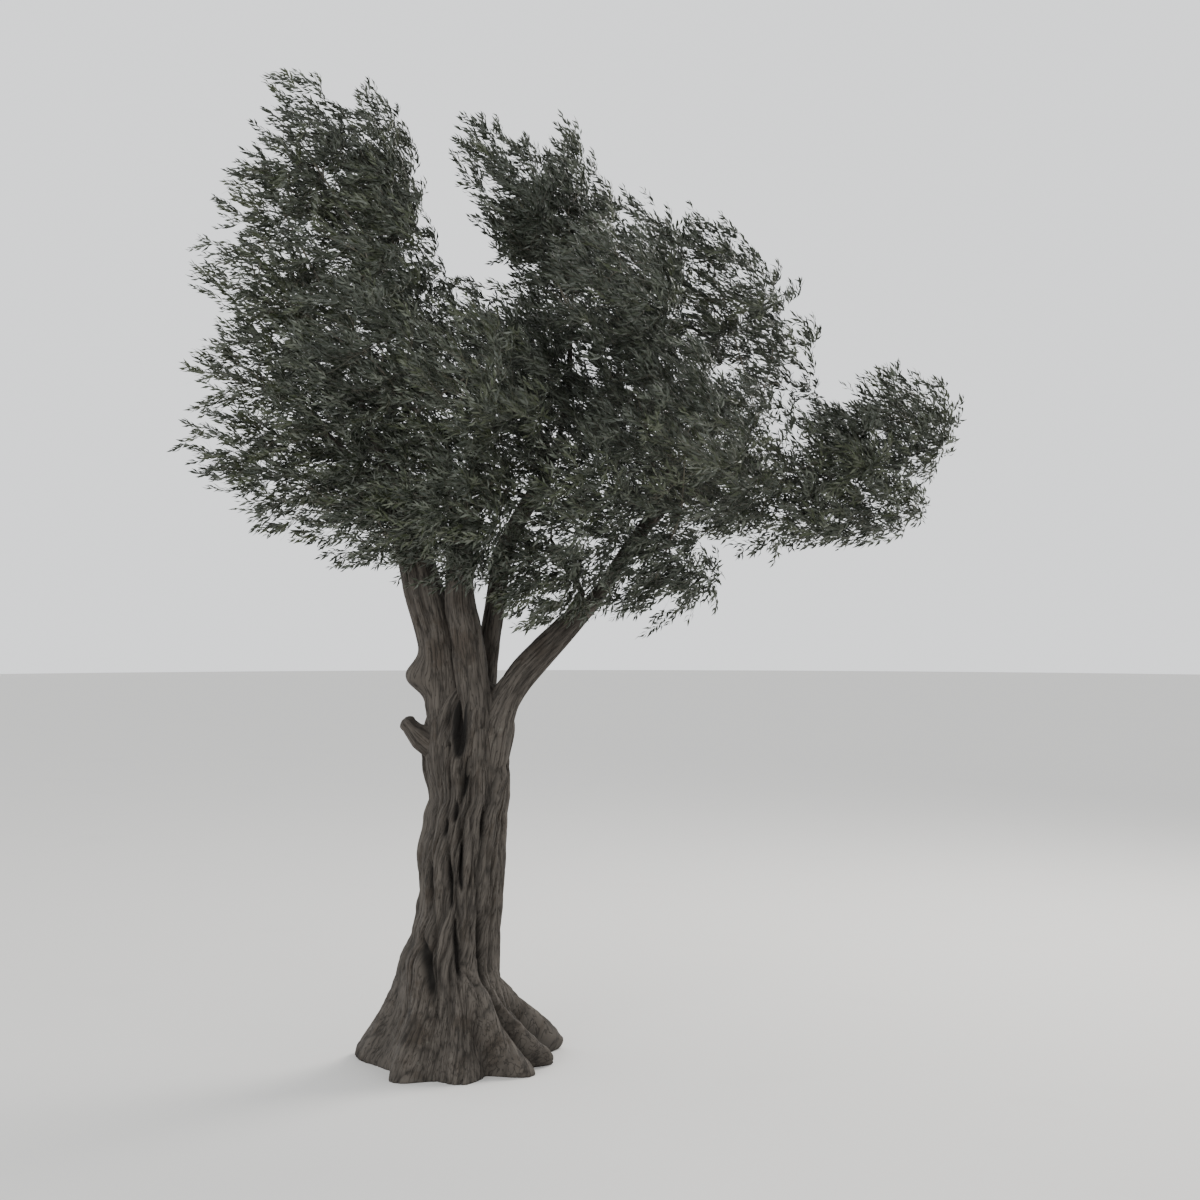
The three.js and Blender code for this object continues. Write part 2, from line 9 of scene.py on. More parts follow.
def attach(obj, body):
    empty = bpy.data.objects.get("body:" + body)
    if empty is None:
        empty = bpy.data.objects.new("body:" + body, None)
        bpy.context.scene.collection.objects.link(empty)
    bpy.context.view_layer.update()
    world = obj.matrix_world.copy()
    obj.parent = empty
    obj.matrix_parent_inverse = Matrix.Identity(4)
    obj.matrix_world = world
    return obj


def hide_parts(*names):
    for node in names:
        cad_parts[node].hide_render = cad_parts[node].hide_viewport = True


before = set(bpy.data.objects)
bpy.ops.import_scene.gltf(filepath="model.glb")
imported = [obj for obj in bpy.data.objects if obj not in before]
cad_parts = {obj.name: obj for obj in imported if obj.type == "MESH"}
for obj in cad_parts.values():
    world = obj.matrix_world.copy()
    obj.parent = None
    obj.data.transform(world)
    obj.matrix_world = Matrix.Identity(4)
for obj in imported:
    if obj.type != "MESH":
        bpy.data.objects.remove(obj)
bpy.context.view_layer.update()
print("frame loaded, nodes:", len(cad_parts))


# Shared helpers

noiseHash = {
    "axes": (374761393, 668265263, 1274126177),
    "seed": 974711,
    "turns": ((13, 1103515245), (15, 22695477)),
    "mask": 0x7FFFFFFF,
}


def unit(v):
    return v / np.maximum(np.linalg.norm(v, axis=-1, keepdims=True), 1e-9)


# Eased from 0 at the first limit to 1 at the second; the first may be the larger
def smooth(value, low, high):
    t = np.clip((value - low) / (high - low), 0, 1)
    return t * t * (3 - 2 * t)


# Noise from -1 to 1 at any number of points, the same each run
def noise(points, seed):
    cell = np.floor(points).astype(np.int64)
    part = points - cell
    ease = part * part * (3 - 2 * part)
    total = np.zeros(len(points))
    mask = noiseHash["mask"]
    for corner in range(8):
        step = np.array([corner & 1, (corner >> 1) & 1, (corner >> 2) & 1])
        mix = (cell + step) @ np.array(noiseHash["axes"]) + seed * noiseHash["seed"]
        for shift, factor in noiseHash["turns"]:
            mix = (mix ^ (mix >> shift)) * factor & mask
        value = mix / (mask >> 1) - 1
        total += value * np.prod(np.where(step == 1, ease, 1 - ease), axis=1)
    return total


# Ridges where the noise crosses zero: 1 on the ridge, falling to 0
def ridges(points, seed, narrowness=2.2):
    return 1 - np.minimum(1, np.abs(noise(points, seed)) * narrowness)


def makePiece(name, points, faces, material, smoothShaded=True):
    mesh = bpy.data.meshes.new(name)
    mesh.vertices.add(len(points))
    mesh.vertices.foreach_set("co", np.asarray(points, np.float32).ravel())
    mesh.loops.add(faces.size)
    mesh.loops.foreach_set("vertex_index", np.asarray(faces, np.int32).ravel())
    mesh.polygons.add(len(faces))
    mesh.polygons.foreach_set("loop_start", np.arange(len(faces), dtype=np.int32) * faces.shape[1])
    mesh.update(calc_edges=True)
    mesh.polygons.foreach_set("use_smooth", np.full(len(faces), smoothShaded))
    piece = bpy.data.objects.new(name, mesh)
    bpy.context.scene.collection.objects.link(piece)
    mesh.materials.append(material)
    return piece


def addValues(piece, name, values):
    kind, key = ("FLOAT", "value") if values.ndim == 1 else ("FLOAT_VECTOR", "vector")
    layer = piece.data.attributes.new(name, kind, "POINT")
    layer.data.foreach_set(key, values.astype(np.float32).ravel())


# Triangles over a grid of rings, closed round, with a fan over each end
def gridFaces(rings, sides):
    ring = np.arange(rings - 1)[:, None] * sides
    side = np.arange(sides)[None, :]
    after = (side + 1) % sides
    a, b = (ring + side).ravel(), (ring + after).ravel()
    c, d = (ring + sides + after).ravel(), (ring + sides + side).ravel()
    body = np.concatenate([np.stack([a, b, c], 1), np.stack([a, c, d], 1)])
    low, high = rings * sides, rings * sides + 1
    s, n = side.ravel(), after.ravel()
    last = (rings - 1) * sides
    fans = [np.stack([n, s, np.full(sides, low)], 1), np.stack([last + s, last + n, np.full(sides, high)], 1)]
    return np.concatenate([body, *fans])


# Limbs and masses: the same named sizes as the solids have, in metres

# each limb: what carries it, its points, half its girth at the foot and at the tip
limbs = {
    "stem_left": (
        "trunk",
        [(-0.07, 0.01, 2.24), (-0.112, 0, 2.64), (-0.208, -0.02, 3.01), (-0.3, -0.04, 3.4)],
        (0.11, 0.116),
    ),
    "stem_middle": (
        "trunk",
        [(0.128, -0.062, 2.24), (0.07, -0.092, 2.69), (0.038, -0.11, 2.9), (0.05, -0.15, 3.35)],
        (0.084, 0.08),
    ),
    "stem_back": (
        "trunk",
        [(0.165, 0.118, 2.24), (0.226, 0.15, 2.79), (0.315, 0.2, 3.25), (0.56, 0.24, 3.7)],
        (0.072, 0.056),
    ),
    "bough_right": (
        "trunk",
        [(0.318, -0.005, 2.24), (0.42, -0.002, 2.4), (0.683, 0, 2.718), (0.825, 0, 2.88)],
        (0.096, 0.084),
    ),
    "bough_right_upper": ("bough_right", [(1.04, 0.01, 3.15), (1.25, 0.02, 3.44)], (0.058, 0.062)),
    "bough_fork": ("bough_right", [(0.69, -0.09, 3.09), (0.6, -0.16, 3.26)], (0.022, 0.02)),
    "bough_top_left": ("stem_left", [(-0.38, 0, 4), (-0.33, 0.09, 4.75)], (0.029, 0.025)),
    "bough_upper_left": ("stem_left", [(-0.52, -0.11, 3.95), (-0.64, -0.11, 4.45)], (0.029, 0.025)),
    "bough_left": ("stem_left", [(-0.6, -0.03, 3.72), (-0.85, 0, 3.97)], (0.029, 0.024)),
    "bough_low_left": ("stem_left", [(-0.4, -0.19, 3.45), (-0.5, -0.26, 3.43)], (0.027, 0.024)),
    "bough_rear_left": ("stem_left", [(-0.38, 0.3, 3.8), (-0.48, 0.56, 4.1)], (0.029, 0.024)),
    "bough_front_left": ("stem_middle", [(-0.06, -0.34, 3.7), (-0.18, -0.47, 4)], (0.027, 0.023)),
    "bough_front": ("stem_middle", [(0.2, -0.32, 3.48), (0.3, -0.42, 3.54)], (0.027, 0.023)),
    "bough_centre": ("stem_middle", [(0.13, -0.11, 3.7), (0.19, -0.12, 3.98)], (0.027, 0.023)),
    "bough_tall": ("stem_back", [(0.69, 0.17, 4.15), (0.72, 0.12, 4.7)], (0.023, 0.023)),
    "bough_rear": ("stem_back", [(0.56, 0.48, 3.9), (0.44, 0.68, 4.08)], (0.023, 0.02)),
    "bough_inner": ("bough_right_upper", [(1.23, 0.04, 3.72), (1.18, 0.05, 3.98)], (0.019, 0.017)),
    "bough_right_far": ("bough_right_upper", [(1.5, 0.03, 3.56), (1.72, 0.03, 3.68)], (0.031, 0.03)),
    "bough_low_right": ("bough_right_upper", [(1.33, -0.19, 3.44), (1.38, -0.3, 3.4)], (0.019, 0.017)),
    "bough_rear_right": ("bough_right_upper", [(1.33, 0.3, 3.68), (1.36, 0.5, 3.85)], (0.019, 0.017)),
    "bough_shoulder": ("bough_right_far", [(1.79, 0.04, 3.85), (1.88, 0.06, 4.03)], (0.013, 0.013)),
    "bough_outer": ("bough_right_far", [(1.95, 0.02, 3.69), (2.15, 0, 3.7)], (0.013, 0.013)),
}

# each mass: its bough, its middle, its reach each way, its lean in degrees
masses = {
    "plume_top_left": ("bough_top_left", (-0.93, 0.05, 5.69), (0.295, 0.48, 0.52), 14),
    "plume_top_inner": ("bough_top_left", (-0.5, 0.13, 5.56), (0.265, 0.48, 0.54), 6),
    "plume_top_rear": ("bough_top_left", (-0.7, 0.72, 5.45), (0.4, 0.52, 0.5), 10),
    "plume_left_upper": ("bough_upper_left", (-1.12, -0.05, 5.42), (0.34, 0.46, 0.29), 22),
    "plume_left": ("bough_upper_left", (-1.19, -0.12, 4.84), (0.43, 0.54, 0.33), 0),
    "mass_upper_front": ("bough_upper_left", (-0.5, -0.33, 4.93), (0.48, 0.52, 0.42), 0),
    "mass_left_tip": ("bough_left", (-1.3, 0, 4.33), (0.49, 0.5, 0.3), 0),
    "mass_left_low": ("bough_left", (-1.27, 0, 3.82), (0.44, 0.5, 0.27), 0),
    "mass_left_inner": ("bough_left", (-0.75, -0.23, 3.92), (0.5, 0.52, 0.4), 0),
    "mass_low_left": ("bough_low_left", (-0.9, -0.14, 3.51), (0.38, 0.48, 0.29), 0),
    "mass_low_inner": ("bough_low_left", (-0.42, -0.37, 3.36), (0.38, 0.44, 0.31), 0),
    "mass_rear_left": ("bough_rear_left", (-0.75, 0.9, 4.6), (0.62, 0.6, 0.6), 0),
    "mass_rear_low_left": ("bough_rear_left", (-0.56, 0.8, 3.75), (0.6, 0.56, 0.45), 0),
    "mass_front_left": ("bough_front_left", (-0.48, -0.62, 4.35), (0.48, 0.56, 0.5), 0),
    "mass_front_centre": ("bough_front_left", (0.15, -0.95, 4.15), (0.48, 0.52, 0.48), 0),
    "mass_front_low": ("bough_front", (0.02, -0.62, 3.43), (0.43, 0.52, 0.5), 0),
    "mass_front_low_right": ("bough_front", (0.75, -0.56, 3.43), (0.44, 0.52, 0.44), 0),
    "mass_centre": ("bough_centre", (0.29, -0.15, 4.39), (0.44, 0.48, 0.43), 10),
    "plume_middle": ("bough_tall", (0.39, 0.05, 5.4), (0.31, 0.48, 0.6), 32),
    "plume_middle_right": ("bough_tall", (0.7, 0.1, 5.33), (0.29, 0.48, 0.56), 14),
    "plume_middle_rear": ("bough_tall", (0.62, 0.75, 5.1), (0.4, 0.52, 0.56), 14),
    "mass_rear_middle": ("bough_rear", (0.2, 1.1, 4.35), (0.56, 0.62, 0.64), 0),
    "mass_centre_low": ("bough_fork", (0.65, -0.15, 3.81), (0.45, 0.48, 0.43), 0),
    "mass_fork": ("bough_fork", (0.51, -0.44, 2.98), (0.33, 0.36, 0.33), 0),
    "plume_right_inner": ("bough_inner", (1.15, 0.05, 4.94), (0.36, 0.48, 0.53), 18),
    "mass_centre_right": ("bough_inner", (0.96, -0.12, 4.28), (0.42, 0.5, 0.46), 14),
    "mass_front_upper": ("bough_inner", (0.95, -0.72, 4.75), (0.43, 0.48, 0.43), 18),
    "plume_right_outer": ("bough_shoulder", (1.65, 0, 4.83), (0.39, 0.48, 0.48), 22),
    "mass_right_shoulder": ("bough_shoulder", (1.98, 0.06, 4.45), (0.29, 0.46, 0.43), 14),
    "mass_right_tip": ("bough_outer", (2.765, 0, 3.99), (0.44, 0.44, 0.41), 22),
    "mass_right_arm": ("bough_outer", (2.31, -0.06, 3.79), (0.4, 0.48, 0.33), 8),
    "mass_right_low": ("bough_outer", (2.47, -0.02, 3.5), (0.41, 0.43, 0.3), 0),
    "mass_right_inner": ("bough_right_far", (1.84, -0.22, 3.62), (0.43, 0.52, 0.45), 0),
    "mass_right_droop": ("bough_low_right", (1.22, -0.38, 2.99), (0.39, 0.43, 0.33), 0),
    "mass_front_right": ("bough_low_right", (1.4, -0.75, 3.85), (0.52, 0.56, 0.5), 0),
    "mass_rear_right": ("bough_rear_right", (1.35, 0.85, 4.3), (0.62, 0.62, 0.62), 0),
    "mass_rear_low_right": ("bough_rear_right", (1.45, 0.75, 3.6), (0.6, 0.52, 0.4), 0),
}

# how limbs and masses follow one another, the same as in the solids
growth = {
    "seam": 0.0003,
    "riseShare": 0.6,
    "massStemRadius": 0.014,
    "stemRim": 0.001,
    "seed": 1400,
    "seedStep": 37,
    "wind": (-0.86, -0.08, 0.5),
}
wind = unit(np.array(growth["wind"]))
up = np.array([0.0, 0.0, 1.0])


# A centripetal curve through points, as limbs have
class LimbCurve:
    def __init__(self, points):
        self.points = np.array(points, float)

    def at(self, share):
        p = self.points
        place = (len(p) - 1) * min(max(share, 0), 1)
        index = min(int(place), len(p) - 2)
        w = place - index
        p1, p2 = p[index], p[index + 1]
        p0 = p[index - 1] if index > 0 else 2 * p[0] - p[1]
        p3 = p[index + 2] if index + 2 < len(p) else 2 * p[-1] - p[-2]
        d0, d1, d2 = (max(np.linalg.norm(b - a), 1e-8) ** 0.5 for a, b in ((p0, p1), (p1, p2), (p2, p3)))
        t1 = ((p1 - p0) / d0 - (p2 - p0) / (d0 + d1) + (p2 - p1) / d1) * d1
        t2 = ((p2 - p1) / d1 - (p3 - p1) / (d1 + d2) + (p3 - p2) / d2) * d1
        return p1 + t1 * w + (3 * (p2 - p1) - 2 * t1 - t2) * w * w + (2 * (p1 - p2) + t1 + t2) * w ** 3

    def tangent(self, share):
        low, high = max(share - 1e-4, 0), min(share + 1e-4, 1)
        return unit(self.at(high) - self.at(low))

    def sampled(self, count):
        return np.array([self.at(s) for s in np.linspace(0, 1, count)])


def crossAxes(axis, hint):
    first = unit(hint - axis * np.dot(hint, axis))
    return first, np.cross(axis, first)


def massStemRadiusAt(carrier):
    carried = sum(entry[0] == carrier for entry in [*limbs.values(), *masses.values()])
    part = math.sin(math.pi / carried)
    room = 1 if carried == 1 else part / (1 + part)
    return min(growth["massStemRadius"], limbs[carrier][2][1] * room - growth["stemRim"])


# Seats for all that one limb's tip carries, evenly round its face, the sharpest turn first
def seatsAt(tip, children):
    first, second = crossAxes(tip["axis"], wind)
    headed = []
    for name, aim, radius in children:
        way = unit(np.array(aim) - tip["point"])
        ahead, aside = np.dot(way, first), np.dot(way, second)
        headed.append((math.hypot(aside, ahead), math.atan2(aside, ahead), name, radius))
    headed.sort(key=lambda entry: -entry[0])
    free = [headed[0][1] + order / len(headed) * 2 * math.pi for order in range(len(headed))]
    seats = {}
    for _, heading, name, radius in headed:
        free.sort(key=lambda angle: -math.cos(angle - heading))
        angle = free.pop(0)
        offset = 0 if len(headed) == 1 else tip["radius"] - radius - growth["seam"]
        around = offset * (first * math.cos(angle) + second * math.sin(angle))
        seats[name] = tip["point"] + tip["axis"] * growth["seam"] + around
    return seats


# Lays out every limb and the stem of every mass from the trunk outwards
def layOut():
    laid = {}

    def place(name, seat, facing, radii, points):
        curve = LimbCurve([seat, seat + facing * growth["riseShare"] * radii[0], *points])
        laid[name] = {
            "curve": curve,
            "radii": radii,
            "tip": {"point": curve.at(1), "axis": curve.tangent(1), "radius": radii[1]},
        }

    for name, (carrier, points, radii) in limbs.items():
        if carrier == "trunk":
            place(name, np.array(points[0]) + up * growth["seam"], up, radii, points[1:])
    for carrier in limbs:
        tip = laid[carrier]["tip"]
        children = [(n, e[1][0], e[2][0]) for n, e in limbs.items() if e[0] == carrier]
        stemRadius = massStemRadiusAt(carrier)
        children += [(n, e[1], stemRadius) for n, e in masses.items() if e[0] == carrier]
        for name, seat in seatsAt(tip, children).items():
            if name in masses:
                place(name, seat, tip["axis"], (stemRadius, stemRadius), [masses[name][1]])
            else:
                place(name, seat, tip["axis"], limbs[name][2], limbs[name][1])
    return laid


laid = layOut()
print("laid out limbs:", len(limbs), "masses:", len(masses))


# Materials

# Sets a shader socket to a value or a colour, or links it to another node's socket
def feed(tree, socket, value):
    if isinstance(value, bpy.types.NodeSocket):
        tree.links.new(value, socket)
    elif socket.type == "RGBA":
        socket.default_value = (*value, 1)
    else:
        socket.default_value = value


# A shader node, its settings and what feeds its inputs
def addNode(tree, kind, inputs, **settings):
    node = tree.nodes.new("ShaderNode" + kind)
    for name, value in settings.items():
        setattr(node, name, value)
    for name, value in inputs.items():
        feed(tree, node.inputs[name], value)
    return node


# A node group with named inputs, the usual value of each, and named outputs
def newGroup(name, inputs, outputs):
    group = bpy.data.node_groups.new(name, "ShaderNodeTree")
    for label, kind, usual in inputs:
        socket = group.interface.new_socket(name=label, in_out="INPUT", socket_type="NodeSocket" + kind)
        socket.default_value = usual
    for label in outputs:
        group.interface.new_socket(name=label, in_out="OUTPUT", socket_type="NodeSocketFloat")
    return group, group.nodes.new("NodeGroupInput").outputs, group.nodes.new("NodeGroupOutput").inputs


weatherShape = {"detail": 5, "roughness": 0.62, "top": 1.05, "edge": 0.16}


# Weathered patches: a soft mask that changes over the surface
def makeWeatherGroup():
    sockets = [("Place", "Vector", (0, 0, 0)), ("Size", "Float", 6), ("Cover", "Float", 0.5)]
    group, given, out = newGroup("weatherPatches", sockets, ["Mask"])
    cloud = addNode(group, "TexNoise", {
        "Vector": given["Place"],
        "Scale": given["Size"],
        "Detail": weatherShape["detail"],
        "Roughness": weatherShape["roughness"],
    })
    low = addNode(group, "Math", {0: weatherShape["top"], 1: given["Cover"]}, operation="SUBTRACT")
    high = addNode(group, "Math", {0: low.outputs[0], 1: weatherShape["edge"]}, operation="ADD")
    levels = {"Value": cloud.outputs["Fac"], "From Min": low.outputs[0], "From Max": high.outputs[0]}
    cut = addNode(group, "MapRange", levels, interpolation_type="SMOOTHSTEP")
    group.links.new(cut.outputs["Result"], out["Mask"])
    return group


# how far the grain is stretched along the limb, detail and roughness of its noises, and its cracks
grainShape = {
    "stretch": (1, 1, 0.09),
    "waves": (2, 0.5),
    "fibre": (6, 0.65),
    "crackWidth": 0.045,
    "crackHeight": -0.6,
}


# Woody grain: fine cracks that run along the limb, with their height and their mask
def makeGrainGroup():
    sockets = [("Along", "Vector", (0, 0, 0)), ("Fineness", "Float", 60)]
    group, given, out = newGroup("woodyGrain", sockets, ["Height", "Cracks"])
    drawnOut = {0: given["Along"], 1: grainShape["stretch"]}
    along = addNode(group, "VectorMath", drawnOut, operation="MULTIPLY").outputs[0]
    noises = {}
    for name in ("waves", "fibre"):
        detail, roughness = grainShape[name]
        inputs = {"Vector": along, "Scale": given["Fineness"], "Detail": detail, "Roughness": roughness}
        noises[name] = addNode(group, "TexNoise", inputs).outputs["Fac"]
    level = addNode(group, "Math", {0: noises["waves"], 1: 0.5}, operation="SUBTRACT").outputs[0]
    away = addNode(group, "Math", {0: level}, operation="ABSOLUTE").outputs[0]
    levels = {"Value": away, "From Max": grainShape["crackWidth"], "To Min": 1, "To Max": 0}
    cracks = addNode(group, "MapRange", levels, interpolation_type="SMOOTHSTEP").outputs["Result"]
    lowered = {0: cracks, 1: grainShape["crackHeight"], 2: noises["fibre"]}
    height = addNode(group, "Math", lowered, operation="MULTIPLY_ADD").outputs[0]
    group.links.new(height, out["Height"])
    group.links.new(cracks, out["Cracks"])
    return group


weatherGroup = makeWeatherGroup()
grainGroup = makeGrainGroup()


def addGroup(tree, group, **inputs):
    return addNode(tree, "Group", inputs, node_tree=group).outputs


def mixColour(tree, factor, first, second):
    return addNode(tree, "Mix", {0: factor, 6: first, 7: second}, data_type="RGBA").outputs[2]


def addPatches(tree, place, size, cover):
    return addGroup(tree, weatherGroup, Place=place, Size=size, Cover=cover)["Mask"]


def newMaterial(name):
    material = bpy.data.materials.new(name)
    material.use_nodes = True
    return material, material.node_tree, material.node_tree.nodes["Principled BSDF"]


def finishShader(tree, shader, colour, roughness, specular=0.5):
    tree.links.new(colour, shader.inputs["Base Color"])
    shader.inputs["Roughness"].default_value = roughness
    shader.inputs["Specular IOR Level"].default_value = specular


def addBump(tree, shader, height, strength, distance):
    bump = addNode(tree, "Bump", {"Strength": strength, "Distance": distance, "Height": height})
    tree.links.new(bump.outputs["Normal"], shader.inputs["Normal"])


# patches in every finish: size and cover
barkFinish = {
    "plate": (0.080, 0.069, 0.058),
    "plateWarm": (0.052, 0.042, 0.033),
    # near-black painted shade, mixed into cracks, gullies, grooves, creases, hollows and ends
    "paintedShade": (0.008, 0.0065, 0.005),
    "lichen": (0.17, 0.17, 0.145),
    "lichenShow": 0.35,
    "warmPatches": (5, 0.55),
    "lichenPatches": (17, 0.43),
    "fineness": 62,
    # how much painted shade the grain's fine cracks get
    "crackPaintedShade": 0.6,
    "bump": (0.8, 0.006),
    "roughness": 0.88,
    "specular": 0.3,
}


def makeBark():
    finish = barkFinish
    material, tree, shader = newMaterial("oldOliveBark")
    place = addNode(tree, "Attribute", {}, attribute_name="grainPlace").outputs["Vector"]
    # the amount of painted shade at each point, from the mesh: darker in gullies, grooves, creases, hollows
    # and cracks
    depth = addNode(tree, "Attribute", {}, attribute_name="paintedShadeAmount").outputs["Fac"]
    grain = addGroup(tree, grainGroup, Along=place, Fineness=finish["fineness"])
    tone = addPatches(tree, place, *finish["warmPatches"])
    lichen = addPatches(tree, place, *finish["lichenPatches"])
    plate = mixColour(tree, tone, finish["plate"], finish["plateWarm"])
    # painted shade in the grain's fine cracks
    tint = {0: grain["Cracks"], 1: finish["crackPaintedShade"]}
    faint = addNode(tree, "Math", tint, operation="MULTIPLY").outputs[0]
    cracked = mixColour(tree, faint, plate, finish["paintedShade"])
    patched = mixColour(tree, lichen, cracked, finish["lichen"])
    soft = mixColour(tree, finish["lichenShow"], cracked, patched)
    # painted shade over the furrows, cuts and cracks of the mesh
    colour = mixColour(tree, depth, soft, finish["paintedShade"])
    finishShader(tree, shader, colour, finish["roughness"], finish["specular"])
    addBump(tree, shader, grain["Height"], *finish["bump"])
    return material


twigFinish = {
    "bark": (0.135, 0.122, 0.095),
    "young": (0.12, 0.125, 0.075),
    "youngPatches": (9, 0.55),
    "fineness": 140,
    "bump": (0.3, 0.002),
    "roughness": 0.75,
}


def makeTwigBark():
    material, tree, shader = newMaterial("twigBark")
    place = addNode(tree, "TexCoord", {}).outputs["Object"]
    grain = addGroup(tree, grainGroup, Along=place, Fineness=twigFinish["fineness"])
    tone = addPatches(tree, place, *twigFinish["youngPatches"])
    colour = mixColour(tree, tone, twigFinish["bark"], twigFinish["young"])
    finishShader(tree, shader, colour, twigFinish["roughness"])
    addBump(tree, shader, grain["Height"], *twigFinish["bump"])
    return material


# each kind: colour above, colour below, share of the sprays
leafKinds = {
    "leafDeep": {"above": (0.014, 0.019, 0.010), "below": (0.046, 0.053, 0.040), "share": 0.40},
    "leafGreyGreen": {"above": (0.023, 0.029, 0.016), "below": (0.060, 0.067, 0.051), "share": 0.32},
    "leafSilvery": {"above": (0.044, 0.052, 0.034), "below": (0.094, 0.104, 0.081), "share": 0.15},
    "leafYoung": {"above": (0.033, 0.041, 0.017), "below": (0.072, 0.081, 0.053), "share": 0.13},
}
leafFinish = {"mottle": (38, 0.5), "mottleShade": 0.68, "roughness": 0.46, "specular": 0.42}


def makeLeafMaterial(name, above, below):
    material, tree, shader = newMaterial(name)
    place = addNode(tree, "TexCoord", {}).outputs["Object"]
    mottle = addPatches(tree, place, *leafFinish["mottle"])
    darker = tuple(c * leafFinish["mottleShade"] for c in above)
    under = addNode(tree, "NewGeometry", {}).outputs["Backfacing"]
    colour = mixColour(tree, under, mixColour(tree, mottle, above, darker), below)
    finishShader(tree, shader, colour, leafFinish["roughness"], leafFinish["specular"])
    return material


bark = makeBark()
twigBark = makeTwigBark()
leafMaterials = {}
for name, kind in leafKinds.items():
    leafMaterials[name] = makeLeafMaterial(name, kind["above"], kind["below"])
print("materials made: bark, twig bark and", len(leafMaterials), "kinds of leaf")


# Trunk: height, middle and half widths of its body, roots, strands and hollows

